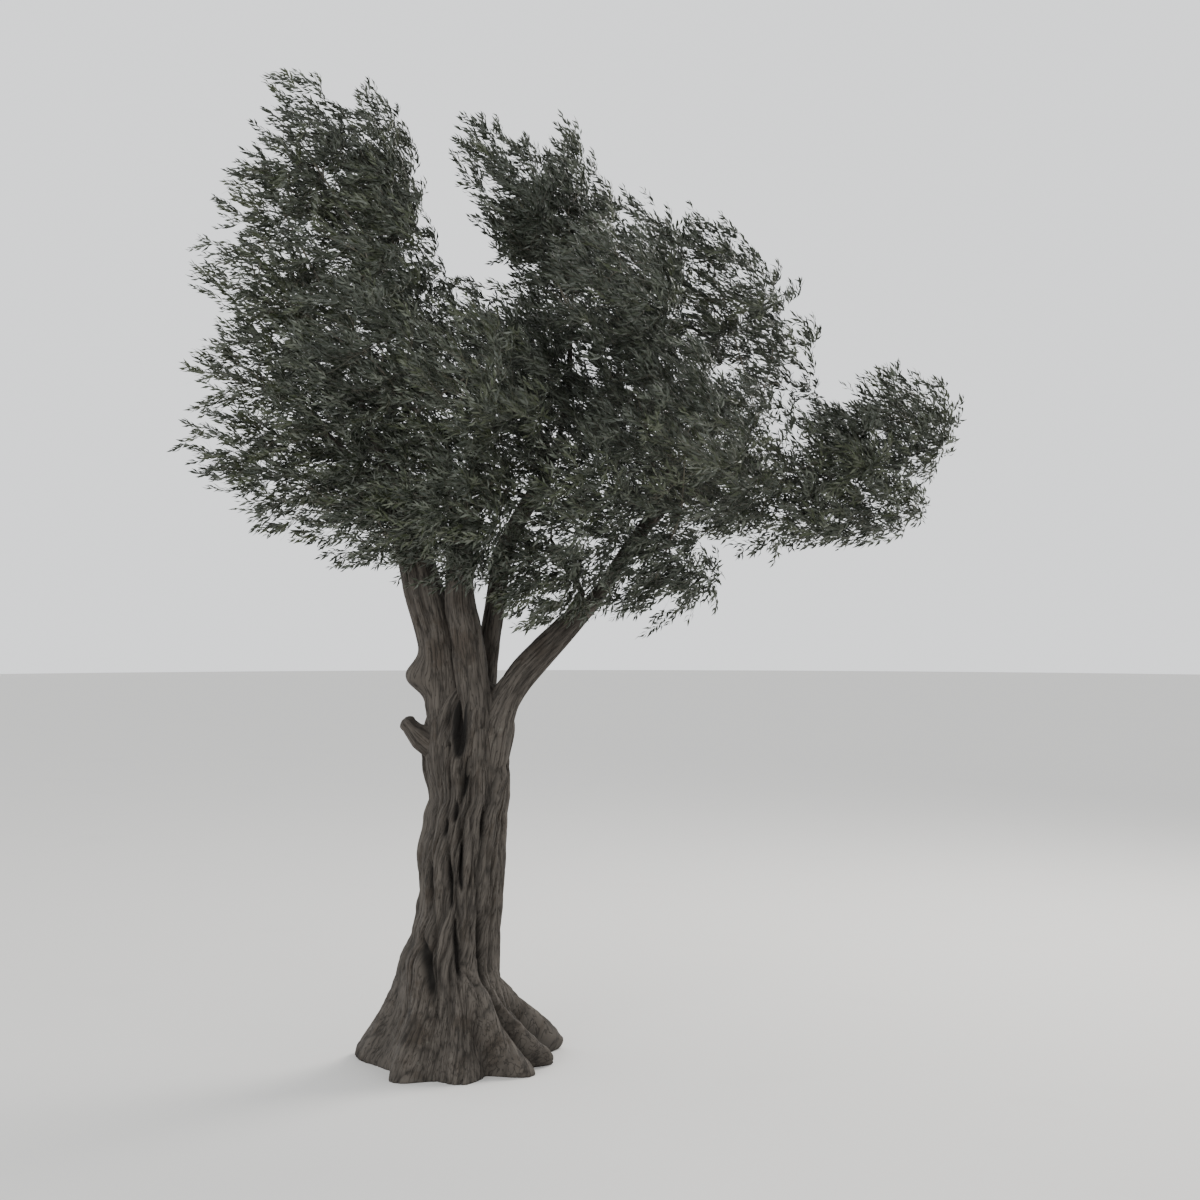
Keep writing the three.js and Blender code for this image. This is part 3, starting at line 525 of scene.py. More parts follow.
trunkShape = {
    "columns": 330,
    "rows": 214,
    "rowSpread": (0.85, 0.15),  # even rows, and rows that close up towards the ground
    "forkHeight": 2.24,
    "headFrom": 1.99,
    "headTop": 2.40,
    "headRoundness": 2.2,
    # height, x and y of the middle, half width, half depth
    "stations": [
        (0.0, 0.0, 0.0, 0.325, 0.300),
        (0.40, -0.012, 0.0, 0.298, 0.275),
        (0.65, -0.030, 0.0, 0.286, 0.262),
        (0.83, -0.004, 0.0, 0.264, 0.250),
        (1.00, 0.026, 0.0, 0.253, 0.240),
        (1.30, 0.035, 0.005, 0.269, 0.240),
        (1.54, 0.064, 0.010, 0.252, 0.232),
        (1.68, 0.092, 0.012, 0.248, 0.228),
        (1.88, 0.080, 0.015, 0.273, 0.225),
        (2.165, 0.094, 0.018, 0.287, 0.222),
        (2.40, 0.115, 0.020, 0.318, 0.222),
    ],
    # heading in degrees, turn on the way up, reach, spread, climb, bluntness, roundness of the crest
    "roots": [
        (154, 0, 0.430, 30, 0.88, 1.0, 1.9),
        (37, -16, 0.540, 14, 0.60, 1.6, 1.6),
        (21, -30, 0.130, 6, 0.62, 1.2, 1.5),
        (6, -42, 0.300, 11, 0.60, 1.3, 1.9),
        (-26, -30, 0.258, 15, 0.70, 1.2, 2.4),
        (-78, -12, 0.120, 20, 0.50, 1.0, 1.9),
        (-128, 0, 0.210, 22, 0.60, 1.0, 1.9),
        (95, 10, 0.180, 24, 0.56, 1.0, 1.8),
    ],
    # grooves between them: heading, turn on the way up, width, climb, depth
    "grooves": [
        (13, -38, 4.0, 0.58, 0.055),
        (29, -24, 4.5, 0.52, 0.060),
        (-9, -38, 5.0, 0.66, 0.050),
        (-52, -14, 7.0, 0.50, 0.034),
        (-102, 6, 7.0, 0.46, 0.026),
        (-152, 8, 7.0, 0.50, 0.026),
        (176, 0, 6.0, 0.62, 0.028),
        (124, 6, 7.0, 0.56, 0.030),
        (66, -8, 6.0, 0.50, 0.034),
    ],
    "rootPower": 1.6,
    "toeDraw": (0.10, 0.07),  # how much the toes draw in at the ground, and the height where that ends
    # lobes, depth, phase, turns on the way up
    "lobes": [(5, 0.055, 0.6, 0.16), (9, 0.022, 2.1, 0.10)],
    "twist": 0.42,  # of the grain, in radians a metre
    "grainGirth": 0.29,
    "rootGrain": 0.11,  # how much wider the grain is on a root
    # relief near the ground, as a share, and the height where it is full
    "settle": (0.45, 0.24),
    # hollows towards the viewer: x and z of the upper end, x and z of the lower end, half width, depth
    "frontHollows": [
        (0.044, 2.44, 0.032, 1.92, 0.045, 0.115),
        (-0.060, 2.26, -0.070, 2.09, 0.014, 0.032),
        (-0.030, 2.03, -0.078, 1.83, 0.017, 0.050),
        (0.112, 1.94, 0.060, 1.68, 0.019, 0.065),
        (0.026, 1.67, 0.0, 1.53, 0.014, 0.048),
        (-0.036, 1.56, -0.058, 1.44, 0.013, 0.040),
        (0.057, 1.42, 0.062, 1.11, 0.016, 0.065),
        (-0.035, 1.34, -0.008, 1.00, 0.014, 0.052),
        (-0.168, 1.31, -0.155, 1.06, 0.012, 0.038),
        (0.203, 1.65, 0.190, 1.42, 0.012, 0.040),
        (0.275, 1.91, 0.262, 1.72, 0.011, 0.032),
        (0.306, 2.10, 0.279, 1.89, 0.010, 0.022),
        (0.012, 0.97, 0.056, 0.58, 0.020, 0.060),
        (-0.185, 0.90, -0.130, 0.47, 0.020, 0.058),
        (0.166, 0.96, 0.200, 0.52, 0.014, 0.042),
        (0.150, 1.36, 0.148, 1.12, 0.009, 0.024),
        (-0.105, 0.74, -0.125, 0.42, 0.014, 0.034),
        (0.245, 1.34, 0.232, 1.02, 0.009, 0.022),
    ],
    # creases between the ribs on that side: x and z from the top down, width, depth
    "creases": [
        ([(0.259, 2.02), (0.252, 1.70), (0.184, 1.53), (0.174, 1.28), (0.178, 0.85), (0.191, 0.52)],
         0.020, 0.034),
        ([(-0.146, 2.17), (-0.120, 1.83), (-0.146, 1.49), (-0.135, 1.15), (-0.120, 0.94), (-0.103, 0.57)],
         0.018, 0.028),
        ([(0.099, 1.95), (0.024, 1.55), (0.067, 1.36), (0.024, 1.11), (0.046, 0.94), (0.060, 0.62)],
         0.018, 0.032),
        ([(0.030, 2.40), (-0.039, 2.20), (-0.018, 2.00), (-0.039, 1.57), (-0.018, 1.28), (0.0, 1.10)],
         0.018, 0.028),
        ([(0.150, 2.20), (0.142, 1.90), (0.118, 1.62), (0.122, 1.30), (0.112, 1.02), (0.126, 0.74)],
         0.014, 0.020),
    ],
    # the same on the other sides: heading in degrees of each end, heights, half width, depth
    "rearHollows": [
        (28, 2.10, 22, 1.78, 0.015, 0.030),
        (60, 1.98, 50, 1.52, 0.020, 0.043),
        (96, 2.20, 84, 1.86, 0.016, 0.033),
        (118, 1.92, 104, 1.55, 0.018, 0.040),
        (150, 2.05, 138, 1.72, 0.014, 0.030),
        (172, 1.60, 166, 1.22, 0.014, 0.030),
        (24, 1.44, 18, 1.08, 0.014, 0.030),
        (78, 1.40, 72, 0.98, 0.021, 0.046),
        (112, 1.36, 110, 1.02, 0.014, 0.030),
        (140, 1.42, 132, 0.94, 0.018, 0.036),
        (52, 1.10, 54, 0.62, 0.018, 0.036),
        (92, 0.90, 98, 0.46, 0.020, 0.036),
        (126, 0.86, 128, 0.42, 0.018, 0.033),
        (8, 0.96, 12, 0.58, 0.014, 0.030),
        (178, 0.98, 182, 0.56, 0.016, 0.030),
    ],
    # swellings: x, y, z of the middle, radius, height
    "burls": [
        (0.300, -0.115, 1.800, 0.075, 0.024),
        (-0.205, -0.020, 1.990, 0.060, 0.020),
        (0.150, 0.230, 1.300, 0.080, 0.040),
        (-0.190, 0.120, 0.980, 0.070, 0.032),
    ],
}


# relief of the bark; ropes: how fine across and along, weight, seed; gullies: how fine across and along, seed
trunkRelief = {
    "seed": 11,
    "ropes": [(7.5, 1.3, 1.0, 0), (15, 2.6, 0.55, 1)],
    "ropeDepth": 0.018,
    "gullies": (9.5, 1.15, 2),
    "gullyDepth": 0.024,
    # the shade keys: how much painted shade the gullies, the cracks and the ends get
    "gullyShade": 0.4,
    "crackSeed": 10,
    "crackDepth": 0.0075,
    "crackShade": 0.62,
    "burlRoundness": 2.6,
    "endPaintedShade": 0.5,
}
limbRelief = {
    "ropes": [(12, 2, 1.0, 0), (5, 3, 0.6, 1)],
    "ropeDepth": 0.012,
    "gullies": (13, 1.6, 2),
    "gullyDepth": 0.014,
    # the shade keys: how much painted shade the gullies, the cracks and the ends get
    "gullyShade": 0.5,
    "crackSeed": 3,
    "crackDepth": 0.0052,
    "crackShade": 0.5,
    "burlRoundness": 2.4,
    "endPaintedShade": 0,
    "twist": 0.35,
    "leastGirth": 0.02,
    "seedShift": 3.7,
    "smoothEnd": 0.3,  # no relief where a limb thins to nothing, and all of it from this share of its girth
}

# fine cracks: how fine across and along, with how far they bend, or with their seed and how sharp they are
fissureShape = {
    "warp": (9, 3.5, 0.010),
    "coarse": (34, 4.6, 5, 1.8),
    "fine": (66, 10, 6, 2),
    "fineWeight": 0.45,
    "most": 1.3,
}
gullySharpness = 3

# grooves, creases and hollows: how far their lines wander, how sharp their sides are, how deep a cut gets the
# full painted shade
cutShape = {
    "ragged": (14, 9, 14),
    "wander": {"groove": 1.2, "crease": 0.008, "hollow": 0.010},
    "sharpness": {"groove": 1.5, "crease": 1.3, "hollow": 2.0},
    "darkAt": {"groove": 0.085, "crease": 0.05, "hollow": 0.035},
    "creaseSway": (0.012, 9, 400),
    "creaseEnds": (0.05, 0.12),
    "grooveFade": 0.5,
    "hollowEnds": 2.2,
    "hollowWidth": (0.35, 0.7),  # at its ends, as a share, and how it widens from there
    "hollowFloor": 0.6,
    "frontEdge": 0.12,
    "rearGirth": 0.25,
}


def fineIn(grain, across, along):
    return grain * (across, across, along)


# Fine bark cracks over a place in grain space: x and y across, z along
def fissures(place, seed):
    across, along, width = fissureShape["warp"]
    warp = np.stack([noise(fineIn(place, across, along), seed + k) for k in range(2)], 1) * width
    bent = place.copy()
    bent[:, :2] += warp
    coarse, fine = (
        ridges(fineIn(bent, across, along), seed + own) ** sharpness
        for across, along, own, sharpness in (fissureShape["coarse"], fissureShape["fine"])
    )
    return np.clip(coarse + fissureShape["fineWeight"] * fine, 0, fissureShape["most"])


# What trunk and limbs share: the lift of ropes and gullies, then the masks of gullies and cracks, which also
# set the painted shade in them
def barkRelief(grain, relief, seed):
    ropes = sum(weight * noise(fineIn(grain, *size), seed + own) for *size, weight, own in relief["ropes"])
    across, along, own = relief["gullies"]
    gully = ridges(fineIn(grain, across, along), seed + own) ** gullySharpness
    lift = ropes * relief["ropeDepth"] - gully * relief["gullyDepth"]
    return lift, gully, fissures(grain, seed + relief["crackSeed"])


def trunkBody(z):
    table = np.array(trunkShape["stations"])
    index = np.clip(np.searchsorted(table[:, 0], z, side="left"), 1, len(table) - 1)
    low, high = table[index - 1], table[index]
    share = smooth(z, low[:, 0], high[:, 0])[:, None]
    return (low + (high - low) * share)[:, 1:]


# How far the roots reach past the body, and the girth of the grain, which is wider on them
def rootReach(z, degrees):
    reach = np.zeros_like(z)
    girth = np.full_like(z, trunkShape["grainGirth"])
    for heading, turned, most, spread, climb, bluntness, crest in trunkShape["roots"]:
        turn = (degrees - heading - turned * np.minimum(z / climb, 1) + 180) % 360 - 180
        fade = np.clip(1 - (z / climb) ** bluntness, 0, None) ** trunkShape["rootPower"]
        profile = np.exp(-((np.abs(turn) / spread) ** crest))
        reach += most * fade * profile
        girth += trunkShape["rootGrain"] * profile
    drawn, drawnTo = trunkShape["toeDraw"]
    return reach * (1 - drawn + drawn * np.sqrt(np.clip(z / drawnTo, 0, 1))), girth


def hollowDepth(x, z, top, bottom, halfWidth, depth, ragged):
    share = (top[1] - z) / (top[1] - bottom[1])
    inside = np.clip(1 - np.abs(share * 2 - 1) ** cutShape["hollowEnds"], 0, None)
    line = top[0] + (bottom[0] - top[0]) * share + ragged * cutShape["wander"]["hollow"]
    least, widening = cutShape["hollowWidth"]
    across = np.abs(x - line) / (halfWidth * (least + (1 - least) * inside ** widening))
    side = np.exp(-across ** cutShape["sharpness"]["hollow"])
    return np.where(inside > 0, depth * inside ** cutShape["hollowFloor"] * side, 0)


# Every groove, crease and hollow in turn: its kind and how deep it cuts
def trunkCuts(z, angle, surfaceX, ragged):
    shape, wander, sharpness = trunkShape, cutShape["wander"], cutShape["sharpness"]
    degrees = np.degrees(angle)
    for heading, turned, width, climb, depth in shape["grooves"]:
        turn = (degrees - heading - turned * z / climb + ragged * wander["groove"] + 180) % 360 - 180
        fade = smooth(climb - z, 0, climb * cutShape["grooveFade"])
        yield "groove", depth * fade * np.exp(-((np.abs(turn) / width) ** sharpness["groove"]))
    front = smooth(-np.sin(angle), 0.0, cutShape["frontEdge"])
    sway, waves, phase = cutShape["creaseSway"]
    outer, inner = cutShape["creaseEnds"]
    for line, width, depth in shape["creases"]:
        lineX, lineZ = np.array(line[::-1]).T
        middle = np.interp(z, lineZ, lineX) + ragged * wander["crease"]
        away = np.abs(surfaceX - middle - sway * np.sin(z * waves + depth * phase)) / width
        fade = smooth(z, lineZ[0] - outer, lineZ[0] + inner) * smooth(z, lineZ[-1] + outer, lineZ[-1] - inner)
        yield "crease", front * depth * fade * np.exp(-(away ** sharpness["crease"]))
    for topX, topZ, lowX, lowZ, halfWidth, depth in shape["frontHollows"]:
        yield "hollow", front * hollowDepth(surfaceX, z, (topX, topZ), (lowX, lowZ), halfWidth, depth, ragged)
    girth = cutShape["rearGirth"]
    for topTurn, topZ, lowTurn, lowZ, halfWidth, depth in shape["rearHollows"]:
        middle = math.radians((topTurn + lowTurn) / 2)
        aside = ((angle - middle + math.pi) % (2 * math.pi) - math.pi) * girth
        top, low = ((math.radians(turn) - middle) * girth for turn in (topTurn, lowTurn))
        yield "hollow", hollowDepth(aside, z, (top, topZ), (low, lowZ), halfWidth, depth, ragged)


def burlLift(points, burls, roundness):
    lift = np.zeros(len(points))
    for *middle, size, height in burls:
        away = np.linalg.norm(points - middle, axis=1) / size
        lift += height * np.exp(-away ** roundness)
    return lift


# Points, faces, place in the grain and the amount of painted shade, with a point in the middle of each end
def closedMesh(points, ends, faces, grain, paintedShade, paintedEndShade):
    # painted shade at the middle of each end
    paintedShade = np.concatenate([paintedShade, [paintedEndShade, paintedEndShade]])
    return np.concatenate([points, ends]), faces, np.concatenate([grain, ends]), paintedShade


def trunkMesh():
    shape, relief = trunkShape, trunkRelief
    columns, rows = shape["columns"], shape["rows"]
    share = np.linspace(0, 1, rows)
    even, closer = shape["rowSpread"]
    heights = shape["headTop"] * (even * share + closer * share ** 2)
    angles = np.linspace(0, 2 * math.pi, columns, endpoint=False)
    z, angle = (grid.ravel() for grid in np.meshgrid(heights, angles, indexing="ij"))
    x0, y0, across, deep = trunkBody(z).T
    swell = np.ones_like(z)
    for lobes, depth, phase, turns in shape["lobes"]:
        swell += depth * np.cos(lobes * (angle - turns * 2 * math.pi * z / shape["forkHeight"]) + phase)
    reach, girth = rootReach(z, np.degrees(angle))
    wound = angle - shape["twist"] * z
    grain = np.stack([girth * np.cos(wound), girth * np.sin(wound), z - reach], 1)
    lift, gully, cracks = barkRelief(grain, relief, relief["seed"])
    # painted shade: darker in the gullies, in every cut as deep as it cuts, and in the cracks
    paintedShade = gully * relief["gullyShade"]
    acrossFine, alongFine, seed = cutShape["ragged"]
    ragged = noise(fineIn(grain, acrossFine, alongFine), seed)
    surfaceX = x0 + across * np.cos(angle)
    for kind, cut in trunkCuts(z, angle, surfaceX, ragged):
        lift -= cut
        paintedShade = np.maximum(paintedShade, cut / cutShape["darkAt"][kind])
    surface = np.stack([surfaceX, y0 + deep * np.sin(angle), z], 1)
    lift += burlLift(surface, shape["burls"], relief["burlRoundness"])
    least, fullAt = shape["settle"]
    lift *= least + (1 - least) * smooth(z, 0, fullAt)
    lift -= cracks * relief["crackDepth"]
    paintedShade = np.clip(np.maximum(paintedShade, cracks * relief["crackShade"]), 0, 1)

    # the head draws in between the stems
    rise = np.clip((z - shape["headFrom"]) / (shape["headTop"] - shape["headFrom"]), 0, 1)
    draw = np.sqrt(np.clip(1 - rise ** shape["headRoundness"], 0, 1))
    wide = (across * swell + reach + lift) * draw
    thick = (deep * swell + reach + lift) * draw
    points = np.stack([x0 + wide * np.cos(angle), y0 + thick * np.sin(angle), z], 1)
    ends = np.array([[0, 0, 0], [x0[-1], y0[-1], shape["headTop"]]])
    return closedMesh(points, ends, gridFaces(rows, columns), grain, paintedShade, relief["endPaintedShade"])


# Stems and boughs: rings along a curve with their relief. The stems rise from inside the trunk's head.

# each stem: foot inside the trunk, how many of the limb's points the foot stands for, girth along it, burls
stemShape = {
    "stem_left": {
        "foot": [(-0.010, -0.010, 1.60), (-0.052, -0.040, 1.94)],
        "skip": 0,
        "girth": [
            (0, 0.080), (0.16, 0.124), (0.34, 0.110), (0.46, 0.118),
            (0.6, 0.124), (0.76, 0.128), (0.9, 0.116), (1, 0.098),
        ],
        "burls": [(-0.205, -0.020, 2.425, 0.098, 0.105), (-0.190, -0.070, 2.235, 0.040, 0.020)],
        "columns": 132,
        "rows": 150,
    },
    "stem_middle": {
        "foot": [(0.120, -0.040, 1.62), (0.150, -0.090, 1.96)],
        "skip": 0,
        "girth": [
            (0, 0.070), (0.18, 0.108), (0.34, 0.094), (0.46, 0.100), (0.74, 0.098), (0.88, 0.088), (1, 0.076),
        ],
        "burls": [(0.180, -0.160, 2.30, 0.040, 0.012)],
        "columns": 112,
        "rows": 140,
    },
    "stem_back": {
        "foot": [(0.140, 0.050, 1.78), (0.150, 0.104, 2.06)],
        "skip": 0,
        "girth": [(0, 0.080), (0.2, 0.096), (0.4, 0.082), (0.7, 0.066), (1, 0.050)],
        "burls": [],
        "columns": 96,
        "rows": 150,
    },
    "bough_right": {
        "foot": [(0.200, -0.030, 1.62), (0.232, -0.052, 1.94), (0.276, -0.036, 2.18), (0.382, -0.012, 2.385)],
        "skip": 2,
        "girth": [(0, 0.070), (0.18, 0.118), (0.34, 0.118), (0.5, 0.098), (0.74, 0.082), (1, 0.075)],
        "burls": [(0.640, -0.070, 2.70, 0.050, 0.010)],
        "columns": 116,
        "rows": 130,
    },
}
boughShape = {
    "columns": 26,
    "rowsEachMetre": 46,
    "measuredAt": 64,  # points along a bough that its length is measured with
    "fewestRows": 10,
    "footFlare": (0.45, 0.13),  # how much wider the foot is, and over what share of the bough that fades
    "footAt": 0.93,  # how far along its carrier a bough's foot starts
    "tipShare": 0.72,
    "reliefPerGirth": 7,
}
# the tips of stems and boughs: one row in so many is rounded, the fewest rows, ease and roundness
limbTip = {"part": 18, "fewest": 3, "ease": 0.4, "roundness": 2}
# noise seed of the first limb of each kind, and the step to the next
seeds = {"stem": (40, 10), "bough": (200, 10), "stub": 160}


# Rings square to a curve, without twisting from one to the next
def ringFrames(path):
    along = unit(np.gradient(path, axis=0))
    first = np.zeros_like(path)
    hint = np.array([0.0, 1.0, 0.0]) if abs(along[0][1]) < 0.9 else np.array([1.0, 0.0, 0.0])
    for i, axis in enumerate(along):
        hint = unit(hint - axis * np.dot(hint, axis))
        first[i] = hint
    return first, np.cross(along, first)


def limbMesh(path, radii, columns, seed, burls=(), scale=1.0):
    relief = limbRelief
    rows = len(path)
    first, second = ringFrames(path)
    length = np.concatenate([[0], np.cumsum(np.linalg.norm(np.diff(path, axis=0), axis=1))])
    row = np.repeat(np.arange(rows), columns)
    angle = np.tile(np.linspace(0, 2 * math.pi, columns, endpoint=False), rows)
    radius = radii[row]
    wound = angle - relief["twist"] * length[row]
    typical = max(radii.mean(), relief["leastGirth"])
    grain = np.stack([typical * np.cos(wound), typical * np.sin(wound), length[row]], 1)
    grain += seed * relief["seedShift"]
    lift, gully, cracks = barkRelief(grain, relief, seed)
    lift = (lift - cracks * relief["crackDepth"]) * scale
    outward = first[row] * np.cos(angle)[:, None] + second[row] * np.sin(angle)[:, None]
    lift += burlLift(path[row] + outward * radius[:, None], burls, relief["burlRoundness"])
    shrink = smooth(radius, 0, typical * relief["smoothEnd"])
    points = path[row] + outward * (radius + lift * shrink)[:, None]
    # painted shade in the gullies and the cracks
    paintedShade = np.clip(np.maximum(gully * relief["gullyShade"], cracks * relief["crackShade"]), 0, 1)
    return closedMesh(points, path[[0, -1]], gridFaces(rows, columns), grain, paintedShade, relief["endPaintedShade"])


# Rounds a limb's tip over its last rows
def roundedTip(radii, count, ease, roundness):
    rounded = radii.copy()
    rounded[-count:] *= np.sqrt(np.clip(1 - (np.arange(count) / (count - ease)) ** roundness, 0, 1))
    return rounded


def roundedLimb(radii):
    count = max(limbTip["fewest"], len(radii) // limbTip["part"])
    return roundedTip(radii, count, limbTip["ease"], limbTip["roundness"])


def girthsAlong(table, rows):
    at, size = zip(*table)
    return np.interp(np.linspace(0, 1, rows), at, size)


def stemMesh(name, order):
    shape = stemShape[name]
    path = LimbCurve([*shape["foot"], *limbs[name][1][shape["skip"]:]]).sampled(shape["rows"])
    radii = roundedLimb(girthsAlong(shape["girth"], shape["rows"]))
    first, step = seeds["stem"]
    return limbMesh(path, radii, shape["columns"], first + step * order, shape["burls"])


def boughMesh(name, order):
    curve = laid[name]["curve"]
    length = np.linalg.norm(np.diff(curve.sampled(boughShape["measuredAt"]), axis=0), axis=1).sum()
    rows = max(boughShape["fewestRows"], int(length * boughShape["rowsEachMetre"]))
    inside = laid[limbs[name][0]]["curve"].at(boughShape["footAt"])
    path = LimbCurve([inside, *curve.points]).sampled(rows)
    share = np.linspace(0, 1, rows)
    low, high = laid[name]["radii"]
    wider, fade = boughShape["footFlare"]
    radii = (low + (high * boughShape["tipShare"] - low) * share) * (1 + wider * np.exp(-share / fade))
    first, step = seeds["bough"]
    scale = float(low) * boughShape["reliefPerGirth"]
    return limbMesh(path, roundedLimb(radii), boughShape["columns"], first + step * order, scale=scale)


# The cut stub on the trunk's side and its neck
stubShape = {
    "path": [
        (0.010, 0.030, 1.900), (-0.110, -0.010, 1.980), (-0.200, -0.030, 2.046),
        (-0.262, -0.034, 2.100), (-0.312, -0.036, 2.158),
    ],
    "girth": [
        (0, 0.060), (0.30, 0.100), (0.52, 0.094), (0.70, 0.070), (0.82, 0.060), (0.92, 0.062), (1, 0.056),
    ],
    "columns": 56,
    "rows": 60,
    "rounded": (9, 0.5, 2.4),
    "relief": 0.9,
}


def stubMesh():
    path = LimbCurve(stubShape["path"]).sampled(stubShape["rows"])
    radii = roundedTip(girthsAlong(stubShape["girth"], stubShape["rows"]), *stubShape["rounded"])
    return limbMesh(path, radii, stubShape["columns"], seeds["stub"], scale=stubShape["relief"])


def joinParts(name, parts, material):
    points, faces, grain, paintedShade = zip(*parts)
    starts = np.cumsum([0, *(len(part) for part in points[:-1])])
    joined = np.concatenate([face + start for face, start in zip(faces, starts)])
    piece = makePiece(name, np.concatenate(points), joined, material)
    addValues(piece, "grainPlace", np.concatenate(grain))
    addValues(piece, "paintedShadeAmount", np.concatenate(paintedShade))
    return piece


stemNames = list(stemShape)
boughNames = [name for name in limbs if name not in stemShape]
barkParts = {
    "trunkBark": (["trunk"], [trunkMesh()]),
    "stemBark": (stemNames, [*(stemMesh(name, order) for order, name in enumerate(stemNames)), stubMesh()]),
    "boughBark": (boughNames, [boughMesh(name, order) for order, name in enumerate(boughNames)]),
}
for name, (nodes, parts) in barkParts.items():
    piece = joinParts(name, parts, bark)
    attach(piece, "root")
    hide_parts(*nodes)
    print("bark made:", piece.name, len(piece.data.polygons), "faces")


# The crown: every mass grows in its own space from the stem at its bough's tip

# lift of the wind in degrees, and how it changes: by how much, from where to where
windShape = {
    "lift": 36,
    "left": (-20, 0.4, -1.3),
    "high": (7, 4.9, 5.9),
    "low": (-40, 3.9, 3.1),
    "fringe": (-26, 3.3, 2.8),
    "towardsViewer": 0.06,
}


# The wind lifts the plumes and lays the lower left nearly level; the lowest fringe hangs a little
def windAt(points):
    x, z = points[:, 0], points[:, 2]
    lift = windShape["lift"]
    for key, at in (("left", x), ("high", z), ("low", z), ("fringe", z)):
        change, start, end = windShape[key]
        lift = lift + change * smooth(at, start, end)
    lift = np.radians(lift)
    return unit(np.stack([-np.cos(lift), np.full_like(x, -windShape["towardsViewer"]), np.sin(lift)], 1))


spaceShape = {
    "margin": 0.004,
    "touch": 1.12,  # masses this near, as a share of their reaches, touch
    "fill": (0.24, 0.10),  # how far the rim swells towards a mass that it touches, and over what gap
    "ragged": [(0.16, 2.7, 31), (0.10, 7.5, 32)],  # how much, how fine, seed
    "box": ((-1.80, -1.40, 2.3), (3.19, 1.66, 6.21)),
    "shared": 0.06,  # how far shoots and leaves may pass the walls
}


# A mass's space: a leaning egg cut by a flat wall towards each neighbour
class Space:
    def __init__(self, name):
        heart, reach, lean = masses[name][1:]
        self.name = name
        self.middle = np.array(heart)
        self.reach = np.array(reach)
        c, s = math.cos(math.radians(lean)), math.sin(math.radians(lean))
        self.turn = np.array([[c, 0, s], [0, 1, 0], [-s, 0, c]])

    def norm(self, offsets):
        return np.linalg.norm((offsets @ self.turn.T) / self.reach, axis=-1)

    def wall(self, others):
        ways, limits, touching = [], [], []
        for other in others:
            gap = other.middle - self.middle
            apart = np.linalg.norm(gap)
            way = gap / apart
            own = 1 / self.norm(way)
            both = own + 1 / other.norm(way)
            ways.append(way)
            limits.append(apart * (own / both) - spaceShape["margin"])
            touching.append(apart < spaceShape["touch"] * both)
        self.ways, self.limits, self.touching = np.array(ways), np.array(limits), np.array(touching)

    # how far out a point lies, 1 at a ragged rim that swells towards the masses it touches
    def depth(self, points):
        offsets = points - self.middle
        room = (self.limits - offsets @ self.ways.T)[:, self.touching].min(axis=1)
        most, over = spaceShape["fill"]
        swell = 1 + most * np.exp(-np.maximum(room, 0) / over)
        edge = 1
        for much, fine, seed in spaceShape["ragged"]:
            edge = edge + much * noise(points * fine, seed)
        return self.norm(offsets) / (swell * edge)

    def holds(self, points, zone, spare=0.0):
        offsets = points - self.middle
        walled = np.all(offsets @ self.ways.T + spare <= self.limits, axis=-1)
        low, high = spaceShape["box"]
        boxed = np.all((points > low) & (points < high), axis=-1)
        return walled & boxed & (self.depth(points) <= zone)


spaces = {name: Space(name) for name in masses}
for space in spaces.values():
    space.wall([other for other in spaces.values() if other is not space])


# Places along every limb, to keep leaves and twigs off the wood
def placesAlongLimbs(each=30):
    wooden = [limb for name, limb in laid.items() if name in limbs]
    places = np.concatenate([limb["curve"].sampled(each) for limb in wooden])
    girths = np.concatenate([np.linspace(*limb["radii"], each) for limb in wooden])
    tree = KDTree(len(places))
    for index, place in enumerate(places):
        tree.insert(place, index)
    tree.balance()
    return tree, girths


limbTree, limbGirths = placesAlongLimbs()


def clearOfLimbs(points, spare):
    clear = np.ones(len(points), bool)
    for i, point in enumerate(points):
        index, away = limbTree.find(point)[1:]
        clear[i] = away > limbGirths[index] + spare
    return clear


# each level of wood: zone and spacing of its ends, the most ends, usual length, points, bend to the wind,
# taper, greatest girth, sides
woodShape = {
    "stem": {"points": 14, "bare": 5, "taper": 0.45, "sides": 8},
    "twig": {
        "zone": 0.74, "spacing": 0.20, "most": 11, "usual": 0.0, "points": 9,
        "bend": 0.30, "taper": 0.62, "girth": 0.0062, "sides": 5,
    },
    "twiglet": {
        "zone": 0.93, "spacing": 0.085, "most": 64, "usual": 0.10, "points": 6,
        "bend": 0.45, "taper": 0.6, "girth": 0.0036, "sides": 3,
    },
    "shoot": {
        "zone": 1.0, "spacing": 0.040, "perCubicMetre": 1320, "usual": 0.17, "points": 4,
        "bend": 0.9, "girth": 0.0021, "tipGirth": 0.0009, "sides": 3,
    },
    "shootLength": (0.09, 0.30),
    "shootDrift": (0.8, 1.25),
    "scatterTries": 9000,
    "wallSpare": 0.02,
    "limbSpare": 0.01,
    "shortest": 0.04,
    "girthShare": 0.8,  # of the wood that carries it
    "windPull": 0.75,
    "leaveAlong": 0.55,
    "handles": 0.36,
    "tipLength": 2,  # of the point at a tube's end, in girths
}

